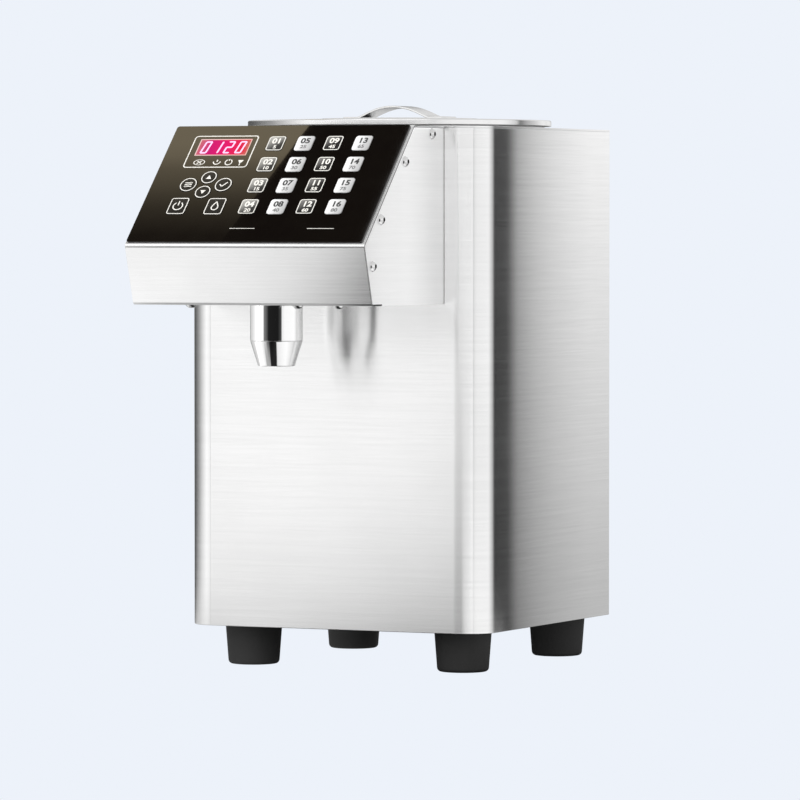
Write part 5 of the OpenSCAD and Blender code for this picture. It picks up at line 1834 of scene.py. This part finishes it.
@dataclass
class Screws:
    """Dome-headed casing screws.

    Attributes:
        head: The head that several of them fasten.
        radius: Radius of the domed head.
        rise: Its height.
        thread: Radius of the thread.
        length: Length below the head.
        socket: Radius of the hexagon socket.
        socket_depth: Depth of the socket.
        under_slope: How far the cheeks' screws lie below the slope.
        cheek_upper: How far out and down each cheek's highest screw lies.
        cheek_shares: Places of the two beside the slope, as shares of it.
        cheek_lower: How far inside the lip the lowest one lies, and its drop as a share of the lip.
        floor_x: Places across of the screws under the floor.
        fixing_z: Distances of the inner screws from the head's lower and upper edges.
        rear_rows: Number of screws down each side of the rear panel.
        rear_end: Distance of the first and last of them from its ends.
        flange: Width of the flange that they go into.
    """

    head: Head
    radius: float = 4.4
    rise: float = 2.8
    thread: float = 1.95
    length: float = 7.0
    socket: float = 1.7
    socket_depth: float = 1.6
    under_slope: float = 9.0
    cheek_upper: Pair = (21.5, 6.6)
    cheek_shares: Pair = (0.24, 0.72)
    cheek_lower: Pair = (12.0, 0.34)
    floor_x: tuple[float, ...] = (-62.0, 31.0, 66.0)
    fixing_z: Pair = (30.0, 32.0)
    rear_rows: int = 4
    rear_end: float = 22.0
    flange: float = 12.0

    @staticmethod
    def facing(spot: Sequence[float], axis: str, degrees: float) -> Matrix:
        """Returns a screw's place, turned about an axis so that its Z points out of what it fastens."""
        return Matrix.Translation(spot) @ Matrix.Rotation(math.radians(degrees), 4, axis)

    def cheek_places(self) -> list[Matrix]:
        """Finds the places of the cheeks' screws.

        Returns:
            The places, with their Z out of the cheeks.
        """
        head = self.head
        inwards = math.sin(head.slope_angle) * self.under_slope
        downwards = math.cos(head.slope_angle) * self.under_slope
        spots = [self.cheek_upper]
        for share in self.cheek_shares:
            spots.append((head.top + head.run * share - inwards, head.nose_drop * share + downwards))
        inside, share = self.cheek_lower
        lip = head.high.z - head.low.z - head.nose_drop
        spots.append((head.reach - head.setback * share - inside, head.nose_drop + lip * share))
        sides = ((-1, head.low.x + head.inset), (1, head.high.x - head.inset))
        return [self.facing((x, head.front - out, head.high.z - drop), "Y", 90 * side)
                for side, x in sides for out, drop in spots]

    def places(self) -> list[Matrix]:
        """Finds every screw's place.

        Returns:
            The places, with their Z out of what the screws fasten.
        """
        head, sheet = self.head, self.head.sheet
        floor_y = head.front - (head.reach - head.setback - head.lip_return / 2 - sheet)
        found = self.cheek_places()
        found += [self.facing((x, floor_y, head.low.z), "X", 180) for x in self.floor_x]
        fixing = head.inset + sheet + self.flange / 2
        lower, upper = self.fixing_z
        found += [self.facing((x, head.front + sheet, z), "X", -90)
                  for x in (head.low.x + fixing, head.high.x - fixing)
                  for z in (head.low.z + lower, head.high.z - upper)]
        low, high = corners_of("rear_panel")
        side = corners_of("body_shell")[1].x - sheet - self.flange / 2
        first = low.z + self.rear_end
        step = (head.high.z - self.rear_end - first) / (self.rear_rows - 1)
        found += [self.facing((x, high.y, first + step * row), "X", -90)
                  for x in (-side, side) for row in range(self.rear_rows)]
        return found

    def build(self) -> None:
        """Builds all the screws as one group of separate solids."""
        screw = Form()
        round_r = (self.radius ** 2 + self.rise ** 2) / (2 * self.rise)
        widest = math.asin(self.radius / round_r)
        rim = math.asin(self.socket / round_r)
        steps = 6
        dome = [(round_r * math.sin(a), self.rise - round_r + round_r * math.cos(a))
                for a in [widest + (rim - widest) * i / steps for i in range(steps + 1)]]
        floor = self.rise - self.socket_depth
        screw.lathe([(0, -self.length), (self.thread, -self.length), (self.thread, 0), *dome,
                     (self.socket, floor), (0, floor)], 24)
        # Faces inside the socket take the second finish, painted shade in the recess.
        for face in screw.mesh.faces:
            spot = face.calc_center_median()
            inside = floor - NEAR < spot.z < self.rise - 0.25 and spot.xy.length < self.socket + NEAR
            face.material_index = int(inside)
        group = screw.copy_to(self.places())
        group.piece("casing_screws_domed", (SCREW, SOCKET_SHADE), "screw_steel", stands_for=["casing_screws"])


def dress_carried() -> None:
    """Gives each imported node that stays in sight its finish."""
    for finish, names in CARRIED.items():
        for name in names:
            node = frame["nodes"][name]
            material = finish.material()
            if node.material_slots:
                for place in node.material_slots:
                    place.material = material
            else:
                node.data.materials.append(material)
            log.info("%s: %s", name, finish.name)


# ---------------------------------------------------------------- studio


@dataclass
class Studio:
    """Camera, floor, cards and soft light.

    Attributes:
        head: The dispenser's head, over whose keypad a card hangs.
        backdrop: Colour of the floor and of what lies behind it.
        camera_at: Place of the camera, in millimetres.
        yaw: How far the camera is turned to its left, in degrees.
        pitch: How far it looks down.
        lens: Its focal length.
        azimuths: Brightness round the horizon; 0 is in front and 90 to the right.
        heights: Share of that brightness from straight down to straight up.
        above: Grey of the tent's upper part, and the rises between which it takes over.
        near_at: Middle of the near floor, which only the steel sees lit.
        near_reach: Distances from there, in metres, between which it fades.
        near_glow: Brightness across that floor before the lip, by X in millimetres.
        foot_glow: Its brightness close to the casing, with a dark part that the nozzle's tip mirrors.
        foot_line: Y, in metres, between which one gives way to the other.
        side_glow: Brightness along the card beside the casing, by Y in millimetres.
        side_rise: Its share by height, in metres.
        side_at: X of that card.
        slope_glow: Share of the keypad card's brightness, from its upper edge down.
        slope_edges: Places across of its left end, the seam's lower and upper end, and its right end.
        slope_tint: Colour of the part left of the seam; the other part is black.
    """

    head: Head
    backdrop: Colour = (0.847, 0.888, 0.955)
    camera_at: Triple = (1960.46, -4000.87, 362.1)
    yaw: float = 25.71
    pitch: float = 1.9
    lens: float = 249.43
    azimuths: tuple[Pair, ...] = (
        (-180, 0.95), (-168, 0.8), (-155, 0.12), (-127, 0.10), (-107, 0.18), (-87, 0.38), (-67, 0.78),
        (-47, 1.25), (-38, 1.15), (-32, 1.1), (-30, 0.24), (-28, 0.22), (-18, 0.13), (-8, 0.015),
        (34, 0.012), (45, 0.06), (49, 0.1), (51, 0.9), (64, 1.05), (112, 1.1), (133, 0.55), (143, 0.15),
        (150, 0.04), (159, 0.04), (170, 0.8), (180, 0.95))
    heights: tuple[Pair, ...] = ((-1.0, 0.55), (-0.14, 0.8), (-0.03, 1.0), (0.3, 1.0), (1.0, 0.9))
    above: Triple = (0.42, 0.12, 0.35)
    near_at: Pair = (-100.0, -400.0)
    near_reach: Pair = (0.55, 0.8)
    near_glow: tuple[Pair, ...] = (
        (-400, 1.16), (-325, 1.16), (-290, 1.1), (-255, 0.98), (-222, 0.80), (-195, 0.62), (-169, 0.30),
        (-155, 0.18), (-120, 0.05), (0, 0.0))
    foot_glow: tuple[Pair, ...] = (
        (-400, 1.1), (-300, 0.9), (-255, 0.45), (-90, 0.45), (-62, 0.02), (150, 0.02), (180, 0.9), (400, 1.1))
    foot_line: Pair = (-0.54, -0.48)
    side_glow: tuple[Pair, ...] = (
        (83, 0.0), (95, 0.22), (104, 0.42), (141, 0.65), (177, 0.80), (213, 0.90), (250, 0.98), (290, 1.0),
        (420, 1.0))
    side_rise: tuple[Pair, ...] = ((0.04, 0.55), (0.24, 0.78), (0.43, 1.0))
    side_at: float = 174.6
    slope_glow: tuple[Pair, ...] = (
        (-40, 1.0), (19, 1.0), (33, 0.89), (47, 0.60), (62, 0.46), (76, 0.29), (90, 0.17), (105, 0.09),
        (119, 0.03), (170, 0.0))
    slope_edges: tuple[float, float, float, float] = (-40.0, 72.8, 127.4, 205.2)
    slope_tint: Colour = (1.15, 0.97, 0.65)

    def build(self) -> None:
        """Builds the studio round the finished dispenser."""
        bpy.context.scene.view_settings.view_transform = "Standard"
        self.camera()
        self.surroundings()
        self.floor()
        self.side_card()
        self.slope_card()
        self.fill_light()
        self.cheek_light()
        self.nozzle_light()
        self.key_light()
        self.fold_light()

    def camera(self) -> None:
        """Sets the camera at the photograph's angle."""
        data = bpy.data.cameras.new("camera")
        data.lens, data.sensor_width = self.lens, 36.0
        data.clip_start, data.clip_end = 0.05, 100.0
        camera = bpy.data.objects.new("camera", data)
        camera.location = Vector(self.camera_at) * MM
        camera.rotation_euler = (math.radians(90 - self.pitch), 0.0, math.radians(self.yaw))
        bpy.context.scene.collection.objects.link(camera)
        bpy.context.scene.camera = camera

    def surroundings(self) -> None:
        """Makes the world a light tent with dark flags round the horizon, plain above them."""
        world = bpy.data.worlds.new("light_tent")
        world.use_nodes = True
        bpy.context.scene.world = world
        w = Wiring(world.node_tree)
        w.tree.nodes.clear()
        towards = w.split(w.coordinates("Generated"))
        turn = w.math("ARCTAN2", towards["X"], w.math("MULTIPLY", towards["Y"], -1.0))
        round_about = w.levels(turn, [(math.radians(a), b / RAMP_TOP) for a, b in self.azimuths])
        tone, low, high = self.above
        colour = w.mix(w.span(towards["Z"], low, high), round_about, grey(tone))
        strength = w.math("MULTIPLY", w.levels(towards["Z"], self.heights), RAMP_TOP)
        tent = w.light("ShaderNodeBackground", colour, strength)
        plain = w.light("ShaderNodeBackground", self.backdrop)
        seen = w.node("ShaderNodeLightPath").outputs["Is Camera Ray"]
        w.show(w.blend(seen, tent, plain), "ShaderNodeOutputWorld")

    @staticmethod
    def sheet(name: str, faces: Sequence[Sequence[Sequence[float]]],
              map_spots: Sequence[Sequence[Sequence[float]]] = ()) -> tuple[bpy.types.Object, Wiring]:
        """Makes a stage sheet with an empty material.

        Args:
            name: Its name.
            faces: The corners of each face, in millimetres.
            map_spots: Where each of those corners lies on the sheet's own map.

        Returns:
            The sheet and the wiring of its material.
        """
        form = bmesh.new()
        for corners in faces:
            form.faces.new([form.verts.new(Vector(spot) * MM) for spot in corners])
        if map_spots:
            layer = form.loops.layers.uv.verify()
            for face, spots in zip(form.faces, map_spots):
                for loop, spot in zip(face.loops, spots):
                    loop[layer].uv = spot
        data = bpy.data.meshes.new(name)
        form.to_mesh(data)
        form.free()
        made = bpy.data.objects.new(name, data)
        bpy.context.scene.collection.objects.link(made)
        material = bpy.data.materials.new(name + "_glow")
        material.use_nodes = True
        data.materials.append(material)
        w = Wiring(material.node_tree)
        w.tree.nodes.clear()
        return made, w

    @staticmethod
    def reflected_only(sheet: bpy.types.Object) -> None:
        """Shows a sheet in reflections and nowhere else.

        Args:
            sheet: The sheet.
        """
        sheet.visible_camera = False
        sheet.visible_diffuse = False
        sheet.visible_shadow = False
        sheet.visible_transmission = False

    def floor(self) -> None:
        """Lays a plain pale floor like the backdrop; its lit near part shows in the steel only."""
        reach, under = 20000.0, -0.2
        corners = [(x * reach, y * reach, under) for x, y in ((-1, -1), (1, -1), (1, 1), (-1, 1))]
        _, w = self.sheet("floor", [corners])
        place = w.coordinates("Object")
        away = w.vector("LENGTH", w.vector("SUBTRACT", place, (*(p * MM for p in self.near_at), 0.0)))
        parts = w.split(place)
        across, close = (w.levels(parts["X"], [(x * MM, b / RAMP_TOP) for x, b in glow])
                         for glow in (self.near_glow, self.foot_glow))
        glow = w.mix(w.span(parts["Y"], *self.foot_line), across, close)
        lit = w.light("ShaderNodeEmission", glow, RAMP_TOP)
        plain = w.light("ShaderNodeEmission", self.backdrop)
        clear = w.node("ShaderNodeBsdfTransparent").outputs[0]
        path = w.node("ShaderNodeLightPath").outputs
        near = w.blend(w.span(away, *self.near_reach), lit, clear)
        shown = w.blend(path["Is Camera Ray"], near, plain)
        w.show(w.blend(path["Is Shadow Ray"], shown, clear))

    def side_card(self) -> None:
        """Hangs a card beside the casing, brighter towards the rear and the top."""
        x, low, high = self.side_at, self.side_glow[0][0], self.side_glow[-1][0]
        card, w = self.sheet("side_card", [[(x, low, -50), (x, low, 500), (x, high, 500), (x, high, -50)]])
        parts = w.split(w.coordinates("Object"))
        along = w.levels(parts["Y"], [(y * MM, b) for y, b in self.side_glow])
        w.show(w.light("ShaderNodeEmission", along, w.levels(parts["Z"], self.side_rise)))
        self.reflected_only(card)

    def slope_card(self) -> None:
        """Hangs the card that the keypad mirrors, warm at the upper left, dark at the right and below."""
        plane = self.head.on_slope(0, 0, 1.0)
        normal = plane.to_3x3().col[2]
        camera = Vector(self.camera_at)
        mirrored = camera - 2 * (camera - plane.translation).dot(normal) * normal
        top, low = self.slope_glow[0][0], self.slope_glow[-1][0]

        def share(v: float) -> float:
            """Returns how far down the card a height is, from 0 to 1."""
            return (v - top) / (low - top)

        def seen_from(u: float, v: float) -> Vector:
            """Returns the card's point that the camera sees at a place on the keypad."""
            spot = self.head.on_slope(u, v, 1.0).translation
            return spot + (spot - mirrored).normalized() * 500.0

        start, lower, upper, end = self.slope_edges
        left = [(start, top), (upper, top), (lower, low), (start, low)]
        right = [(upper, top), (end, top), (end, low), (lower, low)]
        faces = [[seen_from(u, v) for u, v in side] for side in (left, right)]
        maps = [[(at, share(v)) for _, v in side] for at, side in ((0.25, left), (0.75, right))]
        card, w = self.sheet("keypad_card", faces, maps)
        parts = w.split(w.coordinates("UV"))
        down = w.levels(parts["Y"], [(share(v), b) for v, b in self.slope_glow])
        tint = w.mix(w.math("LESS_THAN", parts["X"], 0.5), grey(0.0), self.slope_tint)
        w.show(w.light("ShaderNodeEmission", tint, down))
        self.reflected_only(card)

    @staticmethod
    def area_light(name: str, at: Sequence[float], facing: Sequence[float], size: Pair, radiance: float,
                   pieces: Iterable[str], state: str = "INCLUDE") -> None:
        """Hangs a rectangular light that some of the pieces catch.

        Args:
            name: Its name.
            at: Its place, in millimetres.
            facing: Where it points.
            size: Its width and height, in millimetres.
            radiance: Its brightness as it is seen in a mirror.
            pieces: Pieces that it is linked with.
            state: INCLUDE to light only those, EXCLUDE to light all the others.
        """
        data = bpy.data.lights.new(name, "AREA")
        data.shape = "RECTANGLE"
        data.size, data.size_y = size[0] * MM, size[1] * MM
        data.energy = radiance * math.pi * data.size * data.size_y
        light = bpy.data.objects.new(name, data)
        light.location = Vector(at) * MM
        light.rotation_euler = Vector(facing).to_track_quat("-Z", "Y").to_euler()
        light.visible_camera = False
        bpy.context.scene.collection.objects.link(light)
        linked = bpy.data.collections.new(name + "_pieces")
        for piece in pieces:
            linked.objects.link(bpy.data.objects[piece])
        light.light_linking.receiver_collection = linked
        for entry in linked.collection_objects:
            entry.light_linking.link_state = state

    def fill_light(self) -> None:
        """Hangs the broad front light; the nozzle keeps a dark stripe because it doesn't catch it."""
        turn = math.radians(9.5)
        away = Vector((math.sin(turn), -math.cos(turn), 0.0))
        self.area_light("front_fill", away * 2500.0 + Vector((0, 0, 900)), -away, (4270.0, 3200.0), 0.84,
                        (*NOZZLE_PIECES, "casing_screws_domed", "head_cover_folded"), "EXCLUDE")

    def cheek_light(self) -> None:
        """Hangs a small light that only the head's cheeks mirror."""
        self.area_light("cheek_light", (198.0, 89.0, 365.0), (-0.42, -0.907, 0.0), (125.0, 330.0), 0.98,
                        ("head_cheek_left_plate", "head_cheek_right_plate"))

    def nozzle_light(self) -> None:
        """Hangs a light that only the left of the nozzle mirrors."""
        low, high = corners_of("nozzle_body")
        place = (low + high) / 2 - Vector((600.0, 60.0, 0.0))
        self.area_light("nozzle_light", place, (1.0, 0.1, 0.0), (1000.0, 900.0), 0.55, NOZZLE_PIECES)

    def key_light(self) -> None:
        """Hangs a light over the keypad for its keys and prints."""
        place = self.head.on_slope(self.head.width / 2, 50.0, 700.0)
        pieces = [o.name for o in bpy.data.objects if o.name.endswith(("_cap", "_print"))]
        self.area_light("key_light", place.translation, -place.to_3x3().col[2], (500.0, 500.0), 2.1, pieces)

    def fold_light(self) -> None:
        """Hangs a light high in front that only the folds of the head's cover mirror."""
        ray = Vector((-0.35, -0.74, 0.57)).normalized()
        self.area_light("fold_light", Vector((0.0, -190.0, 330.0)) + ray * 1500.0, -ray, (900.0, 500.0), 1.0,
                        ("head_cover_folded",))


def main() -> None:
    """Builds the studio and the dispenser."""
    logging.basicConfig(level=logging.INFO, format="%(message)s")
    head = Head()
    for part in (Casing(), head, Keypad(head), Nozzle(), Lid(), Screws(head), Studio(head)):
        log.info("building %s", type(part).__name__)
        part.build()
    dress_carried()


if __name__ == "__main__":
    main()
